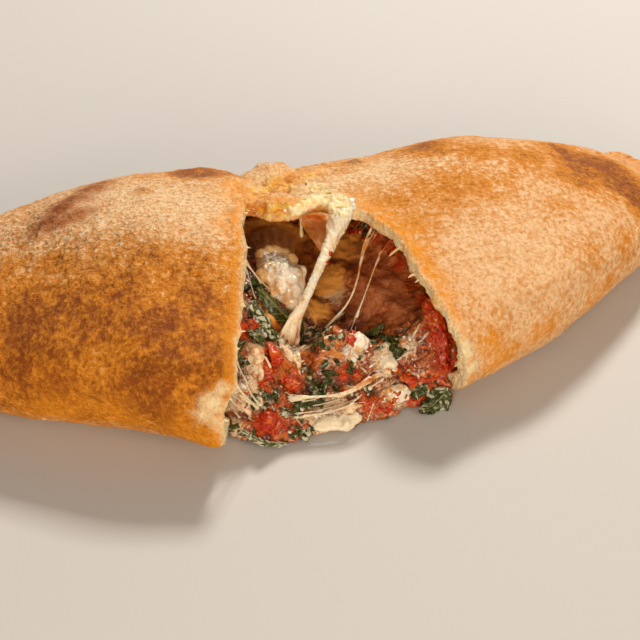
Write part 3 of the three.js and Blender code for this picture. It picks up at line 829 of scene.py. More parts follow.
def simmered_filling(look):
    """Ricotta and mozzarella stirred with tomato sauce and spinach: wet, oily and full of small lumps."""
    material, tree = new_material("ricotta, tomato and spinach, simmered")
    place = in_place(tree)
    mix = add(tree, "noise", place, PER_MM / 3.2, 5, 0.7, 0.9)
    fine = add(tree, "noise", place, PER_MM / 1.0, 4, 0.7)
    bits = add(tree, "noise", place, PER_MM / 1.6, 3, 0.6, 0.6)
    veins = add(tree, "noise", place, PER_MM / 2.4, 4, 0.6, 2.0)
    colour = tinted(tree, look.sauce_deep, look.sauce, mix, 0.4, 0.62)
    creamy = add(tree, "times_plus", add(tree, "stain", "creamy"), 0.6, veins)
    colour = tinted(tree, colour, look.cream, creamy, 0.58, 0.9)
    # Orange oil over the cheese; on the back wall of the mouth its bright, saturated orange also stands in
    # for light passing through the cheese: partly painted light.
    oily = varied(tree, add(tree, "stain", "oiled"), (mix, 0.9))
    colour = tinted(tree, colour, look.oil, oily, 0.1, 0.8)
    wall = tinted(tree, look.wall_deep, look.wall, mix, 0.35, 0.65)
    colour = add(tree, "mix", add(tree, "stain", "walled"), colour, wall)
    red = varied(tree, add(tree, "stain", "sauced"), (fine, 1.6))
    colour = tinted(tree, colour, look.tomato, red, 0.35, 0.85)
    green = bits
    for name, share in (("leafy", 0.22), ("oiled", -0.3), ("walled", -0.3)):
        green = add(tree, "times_plus", add(tree, "stain", name), share, green)
    colour = tinted(tree, colour, look.leaf, green, 0.64, 0.7)
    colour = add(tree, "mix", add(tree, "stain", "shaded"), colour, look.shade)
    height = add(tree, "times_plus", bits, 0.8, fine)
    surface(tree, Base_Color=colour, Roughness=add(tree, "range", fine, 0.3, 0.7, 0.2, 0.4), IOR=1.4,
            Specular_IOR_Level=0.3, Normal=add(tree, "bump", height, 0.7, 0.6 * MM), Subsurface_Weight=0.06,
            Subsurface_Radius=(2.0, 0.8, 0.3), Subsurface_Scale=1.0 * MM,
            Coat_Weight=0.5, Coat_Roughness=0.08)
    return material


def melted_cheese(look):
    """Mozzarella melted and pulled: long fibres, oil in the furrows, and light passing through."""
    material, tree = new_material("mozzarella, melted and pulled")
    fibre = add(tree, "noise", in_place(tree), PER_MM / 0.9, 4, 0.6, 0.6)
    patch = add(tree, "noise", in_place(tree), PER_MM / 4, 3, 0.6, 0.4)
    oily = varied(tree, add(tree, "stain", "oiled"), (patch, 1.6))
    colour = tinted(tree, look.furrow, look.cheese, fibre, 0.3, 0.55, 0.2, 1.0)
    colour = tinted(tree, colour, look.oily, oily, 0.3, 0.9)
    # Where the oil runs deepest the cheese turns browned orange; on the web and on the pull's sides this is
    # partly painted shade.
    colour = tinted(tree, colour, look.browned, oily, 0.75, 1.3)
    colour = add(tree, "mix", add(tree, "stain", "doughy"), colour, look.dough)
    surface(tree, Base_Color=colour, Roughness=0.3, IOR=1.44, Normal=add(tree, "bump", fibre, 0.5, 0.4 * MM),
            Subsurface_Weight=0.35, Subsurface_Radius=(3.0, 1.8, 0.9), Subsurface_Scale=1.4 * MM,
            Coat_Weight=0.3, Coat_Roughness=0.12)
    return material


def soft_ricotta(look):
    """Ricotta warmed in its whey: soft curds, wet and glossy, with a film of oil."""
    material, tree = new_material("ricotta, warm and wet")
    curd = add(tree, "noise", in_place(tree), PER_MM / 1.4, 4, 0.6)
    film = add(tree, "noise", in_place(tree), PER_MM / 4, 4, 0.65, 0.6)
    film = add(tree, "times_plus", add(tree, "stain", "filmed"), 0.2, film)
    herb = add(tree, "noise", in_place(tree), PER_MM / 1.6, 2, 0.5, 0.8)
    colour = tinted(tree, look.curd, look.film, film, 0.46, 0.66)
    colour = tinted(tree, colour, look.whey, curd, 0.58, 0.7, 0, 0.5)
    colour = tinted(tree, colour, look.herb, herb, 0.72, 0.76)
    surface(tree, Base_Color=colour, Roughness=0.16, IOR=1.42, Normal=add(tree, "bump", curd, 0.3, 0.5 * MM),
            Subsurface_Weight=0.3, Subsurface_Radius=(2.5, 1.8, 1.2), Subsurface_Scale=1.5 * MM,
            Coat_Weight=1.0, Coat_Roughness=0.05)
    return material


def crushed_tomato(look):
    """Ripe tomato crushed by hand and cooked: red pulp in oil, wet, with darker skin in places."""
    material, tree = new_material("tomato, crushed and cooked")
    pulp = add(tree, "noise", in_place(tree), PER_MM / 0.9, 4, 0.65)
    patch = add(tree, "noise", in_place(tree), PER_MM / 3, 3, 0.6)
    colour = tinted(tree, look.deep, look.red, pulp, 0.32, 0.6)
    colour = tinted(tree, colour, look.orange, patch, 0.5, 0.66, 0, 0.8)
    colour = tinted(tree, colour, look.orange, add(tree, "stain", "tone"), 0.25, 0.6)
    colour = tinted(tree, colour, look.creamed, add(tree, "stain", "tone"), 0.6, 0.85)
    surface(tree, Base_Color=colour, Roughness=0.25, IOR=1.4, Normal=add(tree, "bump", pulp, 0.6, 0.4 * MM),
            Specular_IOR_Level=0.3, Coat_Weight=0.4, Coat_Roughness=0.12)
    return material


def wilted_spinach(look):
    """Spinach wilted in the sauce: thin dark leaf with paler ribs, wet and smeared with cheese, with a
    painted sheen in the pale smear.
    """
    material, tree = new_material("spinach, wilted")
    rib = add(tree, "noise", in_place(tree), PER_MM / 1.1, 3, 0.6, 1.2)
    smear = add(tree, "noise", in_place(tree), PER_MM / 2.6, 4, 0.6, 0.6)
    cheese_smear_and_sheen = add(tree, "times_plus", add(tree, "stain", "cheese_smear_and_sheen"), 0.3, smear)
    cheese_smear_and_sheen = add(tree, "times_plus", add(tree, "stain", "veined"), -0.3, cheese_smear_and_sheen)
    ribbed = add(tree, "less", add(tree, "stain", "veined"), add(tree, "stain", "cheese_smear_and_sheen"))
    colour = tinted(tree, look.deep, look.leaf, rib, 0.38, 0.66)
    colour = tinted(tree, colour, look.rib, ribbed, 0.3, 0.9, 0, 0.7)
    # The pale smear is partly cheese and partly a painted sheen on the wet leaf.
    colour = tinted(tree, colour, look.smear, cheese_smear_and_sheen, 0.56, 0.68, 0, 0.9)
    surface(tree, Base_Color=colour, Roughness=0.28, IOR=1.42, Normal=add(tree, "bump", rib, 0.6, 0.4 * MM),
            Specular_IOR_Level=0.3, Coat_Weight=0.4, Coat_Roughness=0.08)
    return material


def torn_dough(look):
    """Shreds of torn dough: soft white crumb that dried at its tips."""
    material, tree = new_material("wheat dough, torn")
    pore = add(tree, "noise", in_place(tree), PER_MM / 0.7, 3, 0.6)
    colour = tinted(tree, look.crumb_deep, look.crumb, pore, 0.2, 0.5)
    tinge = add(tree, "noise", in_place(tree), PER_MM / 3.5, 3, 0.6, 0.6)
    colour = tinted(tree, colour, look.flesh, tinge, 0.45, 0.65, 0, 0.5)
    surface(tree, Base_Color=colour, Roughness=0.6, IOR=1.45, Normal=add(tree, "bump", pore, 0.5, 0.3 * MM),
            Subsurface_Weight=0.2, Subsurface_Radius=(2.0, 1.2, 0.6), Subsurface_Scale=1.0 * MM)
    return material


def matt_floor(look):
    """Matt paint rolled on a table: plain, pale and even."""
    material, tree = new_material("matt paint, rolled")
    nap = add(tree, "noise", in_place(tree), PER_MM / 2, 2, 0.55)
    surface(tree, Base_Color=look.floor, Roughness=0.7, IOR=1.45,
            Normal=add(tree, "bump", nap, 0.05, 0.1 * MM))
    return material


# ------------------------------------------------------------------ sizes and colours


def length(name, description, value):
    """A size that a user may change, given in mm."""
    return FloatProperty(name=name, description=description, default=value * MM, min=0, subtype="DISTANCE",
                         unit="LENGTH", precision=5)


def colour(name, description, hexcode):
    """A colour that a user may change."""
    return FloatVectorProperty(name=name, description=description, default=linear(hexcode), size=4,
                               min=0, max=1, subtype="COLOR")


def strength(name, description, value, unit="POWER"):
    """The strength of a light that a user may change."""
    return FloatProperty(name=name, description=description, default=value, min=0, unit=unit)


class CrustLook(PropertyGroup):
    """The sizes and colours of the crust"""

    voxel: length("Face size", "Size of the small faces of the crust", 0.95)
    wrinkle: length("Wrinkle height", "Height of the wrinkles over the left shoulder", 1.2)
    grit: length("Grit height", "Height of the sandy grain all over", 0.22)
    rim: length("Rim height", "How far the crust swells beside the tear", 0.7)
    blister: length("Blister height", "How far a blister stands up", 1.2)
    crag: length("Crumb depth", "How deep the torn crumb is pitted", 1.0)
    ragged: length("Raggedness", "How far the torn edge wanders in and out", 1.3)
    crack: length("Crack depth", "Depth of the slits beside the torn edge", 0.9)
    pale: colour("Pale dough", "Dough that took little heat", "#f1c08c")
    golden: colour("Golden dough", "Dough baked golden", "#dc8a1e")
    # The light grains, with the flour in them, sit on the raised grain and the toasted grains sit in its
    # pits: partly painted highlight and painted shade.
    amber: colour("Light grains", "Grains in the dough baked golden", "#eda440")
    toasted: colour("Toasted grains", "Darker grains in the dry skin", "#b0600a")
    # Brown and dark dough also carry the painted shade on the front of the left half.
    brown: colour("Brown dough", "Dough baked brown", "#924a0a")
    dark: colour("Dark dough", "Dough baked dark brown", "#5c2804")
    char: colour("Charred dough", "Tops of the blisters", "#a55a20")
    flour: colour("Flour", "Flour and semolina left on the skin", "#fde3b8")
    glaze: colour("Oily edge", "Dough soaked with orange oil", "#f79d0c")
    raw: colour("Soft dough", "Dough that took no colour", "#fae3b2")
    crumb: colour("Crumb", "Torn dough", "#fff0c4")
    crumb_deep: colour("Crumb pits", "Pits of the torn dough", "#f3bd66")
    flesh: colour("Drawn flesh", "Yellow shreds of the torn roof", "#ffc02c")
    soaked: colour("Soaked flesh", "Orange oil in the torn roof", "#dc6d06")
    lining: colour("Lining", "Inner side of the crust, soaked with oil", "#f7a53a")
    lining_deep: colour("Stained lining", "Inner side of the crust where the sauce lay", "#cf7024")


class FillingLook(PropertyGroup):
    """The sizes and colours of the filling"""

    voxel: length("Face size", "Size of the small faces of the filling", 0.6)
    lump: length("Lump height", "Height of the lumps in the filling", 1.0)
    sauce: colour("Sauce", "Sauce stirred with cheese", "#c66820")
    sauce_deep: colour("Deep sauce", "Sauce in the hollows", "#742c06")
    cream: colour("Cream", "Ricotta stirred in", "#e6cba4")
    # The oil is made bright and saturated, partly as painted light for the glow of light passing through the
    # cheese.
    oil: colour("Oil", "Orange oil over cheese", "#ffb352")
    wall: colour("Smooth wall", "Cheese stained by sauce, drawn smooth", "#e39663")
    wall_deep: colour("Stained wall", "Darker stains of the smooth wall", "#bf6430")
    tomato: colour("Tomato", "Tomato pulp", "#c4380f")
    leaf: colour("Leaf", "Chopped spinach", "#3c3510")
    shade: colour("Shade", "Depth of the hollows", "#331709")


class CheeseLook(PropertyGroup):
    """The colours of the melted cheese"""

    cheese: colour("Cheese", "Stretched mozzarella", "#f6e0bb")
    furrow: colour("Furrow", "Cheese between the fibres", "#dfa566")
    oily: colour("Oily cheese", "Cheese with orange oil", "#c9772c")
    # Browned cheese also serves as painted shade in the web's pocket and on the sides of the pull.
    browned: colour("Browned cheese", "Cheese browned under its oil", "#9a4a04")
    dough: colour("Dough", "White crumb drawn out with the cheese", "#f8edd4")


class RicottaLook(PropertyGroup):
    """The colours of the ricotta"""

    curd: colour("Curd", "White curd", "#f8ecd6")
    film: colour("Film", "Curd under oil", "#e3b070")
    whey: colour("Whey", "Grey wet curd", "#d3c3a8")
    herb: colour("Herb", "Bits of herb stirred in", "#43492a")


class TomatoLook(PropertyGroup):
    """The colours of the tomato"""

    red: colour("Red", "Tomato flesh", "#c73408")
    deep: colour("Deep red", "Tomato skin", "#701702")
    orange: colour("Orange", "Tomato cooked with oil", "#cd6413")
    creamed: colour("Creamed", "Tomato stirred with ricotta", "#c27a40")


class SpinachLook(PropertyGroup):
    """The colours of the spinach"""

    leaf: colour("Leaf", "Wilted leaf", "#505a15")
    deep: colour("Deep leaf", "Wet dark leaf", "#201f06")
    rib: colour("Rib", "Pale ribs", "#a5a35c")
    # The pale smear colour stands for cheese on the leaf and also for painted sheen on the wet leaves.
    smear: colour("Smear", "Cheese on the leaf", "#c9c6a6")


class StageLook(PropertyGroup):
    """The floor's colour and the strength of the lights"""

    floor: colour("Floor", "Plain pale table", "#c8c7c5")
    key: strength("Window light", "Light from the window", 11.0)
    fill: strength("Front light", "Light from the front", 4.3)
    card: strength("Card", "Light thrown into the mouth", 3.8)
    sky: strength("Room light", "Light from all round", 0.28, "NONE")


# ------------------------------------------------------------------ the crust

BROWNED = (                               # place, reach in mm and strength, as in the tables that follow
    ((29, 339), 10, 0.75), ((40, 374), 8, 0.75), ((92, 321), 6, 0.5), ((157, 324), 7, 0.65),
    ((185, 352), 7, 0.6), ((209, 357), 6, 0.7), ((140, 393), 9, 0.55), ((163, 411), 6, 0.5),
    ((68, 308), 7, 0.45), ((20, 300), 9, 0.35), ((200, 300), 7, 0.4), ((120, 290), 8, 0.3),
    ((150, 255), 5, 0.35), ((60, 262), 6, 0.35), ((190, 268), 5, 0.3), ((10, 268), 6, 0.3),
    ((420, 222), 9, 0.4), ((447, 203), 8, 0.4), ((455, 180), 8, 0.4), ((395, 200), 8, 0.5),
    ((424, 147), 8, 0.8), ((355, 164), 4, 0.9), ((594, 168), 13, 1.3), ((620, 184), 13, 1.3),
    ((565, 152), 9, 0.9), ((636, 200), 10, 1.1), ((581, 180), 9, 0.8), ((608, 283), 6, 0.5),
    ((550, 331), 5, 0.5), ((512, 352), 5, 0.45), ((493, 337), 5, 0.3), ((480, 150), 8, 0.5),
    ((200, 174), 9, 1.2), ((142, 190), 2.5, 1.0), ((225, 200), 4, 0.3), ((140, 253), 3, 0.5),
    ((470, 185), 14, 0.35), ((365, 190), 8, 0.45), ((430, 190), 12, 0.35), ((530, 160), 8, 0.5),
    ((430, 260), 6, 0.4), ((590, 250), 7, 0.3), ((628, 250), 7, 0.4), ((560, 205), 7, 0.3),
)
CHARRED = (
    ((90, 190), 7, 0.8), ((72, 202), 7, 0.95), ((60, 212), 7, 1.0), ((51, 208), 1.2, 1.6),
    ((50, 226), 7, 0.95), ((36, 233), 5, 0.8), ((80, 215), 6, 0.8), ((186, 174), 5, 0.6),
    ((212, 174), 5, 0.5), ((600, 168), 5, 0.45), ((426, 143), 3, 0.4), ((102, 184), 5, 0.7),
    ((66, 222), 6, 0.8),
)
FLOURED = (
    ((120, 205), 22, 0.5), ((190, 205), 18, 0.6), ((270, 172), 12, 0.6), ((512, 245), 20, 0.3),
    ((380, 170), 12, 0.6), ((443, 262), 2.5, 1.0), ((355, 185), 10, 0.5), ((150, 228), 10, 0.4),
)
SANDY = (
    ((110, 215), 26, 1.0), ((60, 240), 20, 0.8), ((190, 200), 22, 1.0), ((200, 250), 14, 0.7),
    ((20, 225), 20, 0.7), ((380, 172), 14, 1.0), ((350, 188), 10, 1.0), ((430, 165), 12, 0.8),
    ((275, 172), 10, 0.6), ((500, 170), 12, 0.5), ((150, 290), 16, 0.4),
)
OILED = (
    ((365, 210), 6, 0.9), ((382, 222), 6, 1.0), ((397, 233), 6, 1.0), ((412, 250), 5.5, 1.0),
    ((428, 273), 5, 1.0), ((443, 296), 4, 0.8), ((452, 312), 3, 0.7), ((350, 200), 5, 0.8),
    ((236, 190), 7, 0.9), ((240, 225), 7, 1.0), ((238, 262), 6, 0.9), ((410, 232), 6, 0.5),
    ((60, 410), 9, 0.5), ((120, 416), 9, 0.5), ((180, 430), 7, 0.6), ((490, 345), 6, 0.6),
    ((500, 360), 6, 0.6), ((540, 336), 7, 0.5), ((595, 300), 7, 0.5), ((243, 182), 3, 0.9),
    ((246, 205), 3, 0.9), ((246, 240), 3, 0.9), ((240, 290), 3, 0.8), ((234, 340), 3, 0.8),
    ((228, 390), 3, 0.8), ((300, 178), 4, 0.5), ((195, 437), 5, 0.7), ((218, 437), 4, 0.7),
)
RAW = (
    ((464, 352), 4.5, 1.0), ((457, 374), 4, 1.0), ((472, 366), 4, 0.9), ((455, 330), 2.5, 0.7),
    ((213, 404), 5, 0.85), ((205, 415), 5, 0.75), ((222, 390), 3, 0.8), ((215, 422), 5, 0.6),
    ((312, 198), 5, 0.9), ((325, 199), 6, 1.0), ((341, 203), 5, 1.0), ((322, 190), 5, 0.8),
    ((258, 178), 5, 0.4),
)
SOAKED = (
    ((252, 198), 7, 1.0), ((268, 196), 7, 1.0), ((283, 200), 5, 1.0), ((292, 208), 3, 0.9),
    ((275, 186), 8, 1.0), ((292, 182), 6, 1.0), ((248, 210), 7, 1.0), ((306, 175), 5, 1.0),
    ((262, 208), 5, 1.0), ((278, 210), 4, 1.0), ((318, 172), 4, 0.7), ((316, 211), 2.5, 1.0),
    ((324, 211), 2.5, 0.9), ((380, 222), 3, 0.5), ((410, 256), 3, 0.5), ((436, 300), 3, 0.5),
)
BLISTERS = (                              # place, reach in mm, share of the blister height
    ((200, 172), 8, 1.6), ((70, 207), 9, 1.3), ((48, 226), 7, 1.1), ((92, 192), 6, 0.9),
    ((424, 146), 6, 0.8), ((594, 166), 7, 0.8), ((355, 163), 3, 0.9), ((142, 190), 2, 0.7),
    ((243, 182), 2.5, 1.0), ((247, 205), 2, 0.8), ((246, 232), 2.2, 0.8), ((470, 140), 6, 0.5),
    ((540, 144), 6, 0.6), ((390, 152), 4, 0.5), ((150, 176), 6, 0.5), ((443, 262), 1.5, 0.5),
    ((240, 200), 2.5, 0.8), ((244, 220), 2.2, 1.3), ((242, 248), 2, 1.0), ((238, 275), 1.5, 0.8),
    ((234, 182), 2.5, 1.0), ((235, 212), 1.8, 0.9), ((238, 234), 1.8, 0.9), ((228, 192), 1.8, 0.7),
    ((245, 191), 2, 1.2),
)
SHOULDER = ((30, 245), 18, 1.0), ((80, 250), 20, 1.0), ((140, 250), 20, 1.0), ((200, 262), 16, 0.9)
ROOF_FLESH = (
    ((262, 190), 8, 1.0), ((285, 190), 9, 1.0), ((312, 190), 9, 1.0), ((335, 200), 6, 0.9),
    ((300, 178), 7, 0.9), ((320, 172), 4, 0.8),
)
PULL_ROOT = (((340, 206), 4, 1.0),)
CRACKS = (((452, 299), (466, 326)), ((422, 265), (441, 295)), ((268, 186), (300, 178)))


LIP_ALONG = 56 * MM                       # the torn lips lie within this of the middle
LIP_ACROSS = 20 * MM                      # and in front of this
ROOF_LIP = (4 * MM, 26 * MM)              # how far back the torn edge of the roof lies, from and to
ROOF_HEIGHT = 35 * MM                     # it lies above this
ROOF_ALONG = 22 * MM                      # and within this of the middle
DEEP = 54 * MM                            # the inner side can't be seen farther than this from the mouth


def crust_masks(points, facing):
    """Which points are on the torn dough, and which on the inner side of the crust."""
    straight, turned = straighten(points)
    aim = straighten_facing(facing, turned)
    along, across, up = straight.T
    middle = 0.45 * HEIGHT
    out = (across * aim[:, 1] + (up - middle) * aim[:, 2]) / np.hypot(across, up - middle)
    side_lip = (np.abs(aim[:, 0]) > 0.55) & (across < LIP_ACROSS) & (np.abs(along) < LIP_ALONG)
    roof_lip = (aim[:, 1] < -0.4) & (aim[:, 2] > 0.2) & (across > ROOF_LIP[0]) & (across < ROOF_LIP[1])
    roof_lip &= (up > ROOF_HEIGHT) & (np.abs(along) < ROOF_ALONG)
    torn = (side_lip | roof_lip).astype(float)
    inner = ((out < -0.1) & (torn < 0.5)).astype(float)
    return torn, inner


def along_cracks(tree, points):
    """How near each point is to one of the slits beside the torn edge."""
    near = np.zeros(len(points))
    for ends in CRACKS:
        start, end = (landing(tree, place) for place in ends)
        share = np.clip((points - start) @ (end - start) / np.sum((end - start) ** 2), 0, 1)
        line = between_places(start, end, share)
        width = (0.4 + 0.7 * np.sin(math.pi * share)) * MM
        near = np.maximum(near, bell(np.linalg.norm(points - line, axis=1), width))
    return near


def even_crust(look):
    """The crust in small even faces, larger where they are hidden, with its torn and inner parts."""
    piece = recast("crust", "baked_crust", look.voxel)
    points = points_of(piece.data)
    _, inner = crust_masks(points, facing_of(piece.data))
    deep = inner * (np.abs(points[:, 0] - MOUTH_MIDDLE) > DEEP)
    thinned(piece, np.maximum(deep, points[:, 2] < 0.3 * MM), 0.12)
    mesh = piece.data
    edges = edges_of(mesh)
    points = points_of(mesh)
    torn, inner = (spread(mask, edges, 3) for mask in crust_masks(points, facing_of(mesh)))
    keep = ramp(spread(torn, edges, 4), 0.02, 0.3)[:, None]
    points = points * keep + evened(points, edges, 22) * (1 - keep)
    place_points(mesh, points)
    return piece, points, torn, inner


def crust_relief(look, points, straight, on):
    """How far the crust rises: wrinkles, blisters, grit, slits and a swollen rim, then crumb and flesh."""
    long_way = straight * (0.55, 1.0, 1.0)
    folds = 0.7 * ridges(long_way, 6 * MM, 3) + 0.6 * ridges(long_way, 3 * MM, 5)
    rise = look.wrinkle * on.wrinkled * folds
    rise += 0.6 * look.wrinkle * rough(straight, 14 * MM, 8)
    rise += look.blister * on.blistered * (0.75 + 0.25 * lumps(points, 2.4 * MM, 9))
    rise += look.grit * rough(points, 2.4 * MM, 11) * (1 + 1.2 * on.charred)
    rise += look.grit * 1.3 * (0.5 - pits(points, 3.2 * MM, 14))
    rise -= look.crack * on.cracked
    rolled = ramp(on.near_tear, 0.01, 0.12) * (0.7 + 0.5 * rough(straight, 7 * MM, 30))
    rise += look.rim * rolled
    rise = rise * on.skin
    rise += look.crag * on.torn * (pits(points, 2.6 * MM, 17) - 0.55 + 0.5 * rough(points, 1.8 * MM, 19))
    shred = ridges(straight * (0.4, 1.0, 1.0), 3.6 * MM, 23) + 0.6 * ridges(straight, 2.2 * MM, 25)
    rise += 1.8 * MM * on.flesh * (shred - 0.6)
    rise += 0.35 * MM * rough(points, 5 * MM, 27) * on.inner
    rise += on.root * MM * (1.2 + 0.8 * rough(points, 2 * MM, 28))
    return rise


def crust_browning(points, straight, spots, on):
    """How brown the crust is: browner in front on the left half, where browning and painted shade are mixed,
    and along the back, paler at its foot.
    """
    edge_wave = 9 * MM * rough(straight, 16 * MM, 26, 2)
    # The darker front of the left half is partly browning and partly painted shade on the side that faces
    # away from the light.
    left_front_browning_and_shade = ramp(-straight[:, 1] + edge_wave, -8 * MM, 44 * MM)
    left_front_browning_and_shade = left_front_browning_and_shade * (1 - ramp(points[:, 0], -15 * MM, 15 * MM))
    foot = ramp(points[:, 2], 14 * MM, 2 * MM)
    back = ramp(straight[:, 1], 20 * MM, 50 * MM)
    browned = spots * (1 - 0.6 * foot) + (0.68 - 0.5 * foot) * left_front_browning_and_shade
    browned += 0.35 * back - 0.15 * foot * (1 - left_front_browning_and_shade) + 0.15 * on.wrinkled * (1 - on.blistered)
    browned += 0.18 * ramp(points[:, 0], 20 * MM, 60 * MM) * ramp(straight[:, 1], -22 * MM, 2 * MM)
    return browned


class CALZONE_OT_bake_crust(Operator):
    """Bakes the crust: wrinkles, blisters, torn crumb and its browning, with painted shade in the browning
    of the left half's front
    """

    bl_idname = "calzone.bake_crust"
    bl_label = "Bake the crust"

    def execute(self, context):
        look = context.scene.calzone_crust
        solid = node_tree_of("crust")
        piece, points, torn, inner = even_crust(look)
        mesh = piece.data
        straight, _ = straighten(points)
        on = SimpleNamespace(torn=torn, inner=inner, skin=(1 - torn) * (1 - inner))
        on.near_tear = spread(torn, edges_of(mesh), 30)
        on.wrinkled, on.blistered, on.charred, on.flesh, on.root = (
            spots_on(solid, points, spots) for spots in (SHOULDER, BLISTERS, CHARRED, ROOF_FLESH, PULL_ROOT)
        )
        on.cracked = along_cracks(solid, points)
        on.flesh *= 1 - inner
        on.root *= 1 - inner
        points = pushed(mesh, points, crust_relief(look, points, straight, on))
        wander = look.ragged * ramp(on.near_tear, 0.1, 0.4) * rough(straight, 5 * MM, 29, 3)
        away = np.where(points[:, 0] < 4 * MM, 1.0, -1.0)
        points[:, 0] += wander * away * (1 - ramp(on.flesh, 0.2, 0.6))
        place_points(mesh, lifted(points, 0))
        self.stains(mesh, points, straight, solid, on)
        seat(piece, baked_dough(look), "baked_crust", "crust")
        return {"FINISHED"}

    def stains(self, mesh, points, straight, solid, on):
        """What the heat, the flour and the filling left on the crust, with painted shade on the front of the
        left half in the browned stain.
        """
        browned, floured, sandy, raw, oiled, soaked = (
            spots_on(solid, points, spots) for spots in (BROWNED, FLOURED, SANDY, RAW, OILED, SOAKED)
        )
        marks = {
            # browned: the baking, with painted shade on the left half's front
            "browned": crust_browning(points, straight, browned, on) * on.skin,
            "charred": on.charred * on.skin,
            "floured": floured * on.skin,
            "wrinkled": on.wrinkled * on.skin,
            "sandy": sandy,
            "raw": raw * (1 - on.inner),
            "oiled": np.maximum(oiled, 0.6 * ramp(on.near_tear, 0.01, 0.1)) * (1 - on.torn),
            "soaked": soaked,
            "crumb": np.maximum.reduce([on.torn, 0.9 * ramp(on.flesh, 0.3, 0.9), ramp(on.root, 0.2, 0.6)]),
            "lined": on.inner,
        }
        for name, values in marks.items():
            stain(mesh, name, values)


# ------------------------------------------------------------------ the filling

CREAMY = (                                # place, reach in mm and strength, as in the tables that follow
    ((270, 262), 9, 1.0), ((290, 350), 5, 1.0), ((355, 351), 4, 1.0), ((386, 358), 5, 1.0),
    ((395, 396), 5, 0.9), ((330, 416), 7, 1.0), ((240, 398), 4, 0.9), ((236, 430), 4, 0.8),
    ((258, 345), 3, 0.8), ((250, 385), 4, 0.7), ((334, 293), 4, 0.9), ((255, 310), 5, 0.8),
    ((415, 380), 4, 0.6), ((258, 362), 4, 0.9), ((239, 400), 5, 1.0), ((405, 345), 5, 0.6),
    ((340, 365), 6, 0.3), ((300, 330), 5, 0.6),
)
SAUCED = (
    ((245, 330), 4, 0.9), ((260, 350), 4, 0.9), ((270, 368), 4, 0.8), ((264, 427), 5, 1.0),
    ((292, 382), 4, 0.9), ((438, 335), 6, 0.9), ((448, 365), 6, 0.9), ((425, 300), 4, 0.9),
    ((430, 385), 5, 0.9), ((345, 372), 4, 0.9), ((400, 365), 5, 0.7), ((375, 232), 5, 0.9),
    ((400, 265), 4, 0.8), ((283, 425), 4, 0.7), ((245, 414), 4, 0.7), ((368, 400), 4, 0.8),
    ((380, 345), 6, 0.5), ((296, 372), 3, 0.7), ((410, 400), 4, 0.7), ((352, 335), 3, 0.7),
)
# Orange oil on the cheese at the back of the mouth, partly painted glow of light passing through it.
OILED_FILLING = (
    ((262, 225), 9, 1.0), ((345, 250), 8, 0.9), ((325, 280), 8, 0.9), ((320, 310), 6, 0.7),
    ((270, 212), 7, 0.9), ((272, 315), 3, 0.9), ((330, 350), 5, 0.4), ((290, 240), 8, 0.8),
)
WALLED = (
    ((385, 285), 10, 1.0), ((400, 310), 8, 0.9), ((370, 300), 7, 0.9), ((375, 262), 8, 0.9),
    ((360, 315), 5, 0.6),
)
LEAFY = (
    ((240, 355), 5, 0.5), ((236, 372), 4, 0.8), ((320, 335), 5, 0.8), ((310, 345), 4, 0.6),
    ((365, 230), 4, 0.8), ((390, 245), 3, 0.6), ((300, 400), 3, 0.6), ((318, 404), 4, 0.6),
    ((270, 400), 4, 0.7), ((300, 430), 3, 0.5), ((395, 335), 4, 0.5), ((415, 362), 4, 0.5),
    ((425, 380), 4, 0.6), ((345, 345), 5, 0.6),
)
SHADED = ((325, 384), 5, 0.9), ((312, 388), 4, 0.8), ((235, 350), 3, 0.7)
SEEN_ALONG = (-34 * MM, 56 * MM)          # the part of the filling that can be seen, from left to right
SEEN_BACK = 28 * MM                       # and how far back


class CALZONE_OT_fill(Operator):
    """Fills the crust: lumpy ricotta, sauce and spinach, smooth where cheese was drawn out"""

    bl_idname = "calzone.fill"
    bl_label = "Fill it"

    def execute(self, context):
        look = context.scene.calzone_filling
        solid = node_tree_of("filling")
        piece = recast("filling", "ricotta_filling", look.voxel)
        points = points_of(piece.data)
        hidden = (points[:, 0] < SEEN_ALONG[0]) | (points[:, 0] > SEEN_ALONG[1]) | (points[:, 1] > SEEN_BACK)
        thinned(piece, hidden | (points[:, 2] < 0.4 * MM), 0.25)
        mesh = piece.data
        points = spread(points_of(mesh), edges_of(mesh), 7)
        place_points(mesh, points)
        creamy, walled, oiled = (spots_on(solid, points, spots) for spots in (CREAMY, WALLED, OILED_FILLING))
        calm = np.clip(1 - 0.8 * np.maximum(walled, np.maximum(oiled, 0.4 * creamy)), 0, 1)
        from_middle = np.abs(points[:, 0] - MOUTH_MIDDLE)
        open_part = ramp(-points[:, 1], -34 * MM, -22 * MM) * ramp(from_middle, 52 * MM, 44 * MM)
        rise = rough(points, 3.6 * MM, 31) + 0.8 * (0.5 - pits(points, 2.2 * MM, 33))
        rise += 0.7 * (ridges(points, 5 * MM, 36) - 0.5)
        rise = look.lump * (calm * rise + 0.35 * rough(points, 7 * MM, 35)) * open_part
        points = lifted(pushed(mesh, points, rise), 0)
        place_points(mesh, points)
        sauced, leafy, shaded = (spots_on(solid, points, spots) for spots in (SAUCED, LEAFY, SHADED))
        hollow = 0.75 * ramp(-rise / look.lump, 0.2, 0.9)
        marks = {"creamy": creamy, "walled": walled, "oiled": oiled, "sauced": sauced, "leafy": leafy,
                 "shaded": np.maximum(shaded, hollow)}
        for name, values in marks.items():
            stain(mesh, name, values)
        seat(piece, simmered_filling(look), "filling", "filling")
        return {"FINISHED"}


# ------------------------------------------------------------------ pieces in the filling

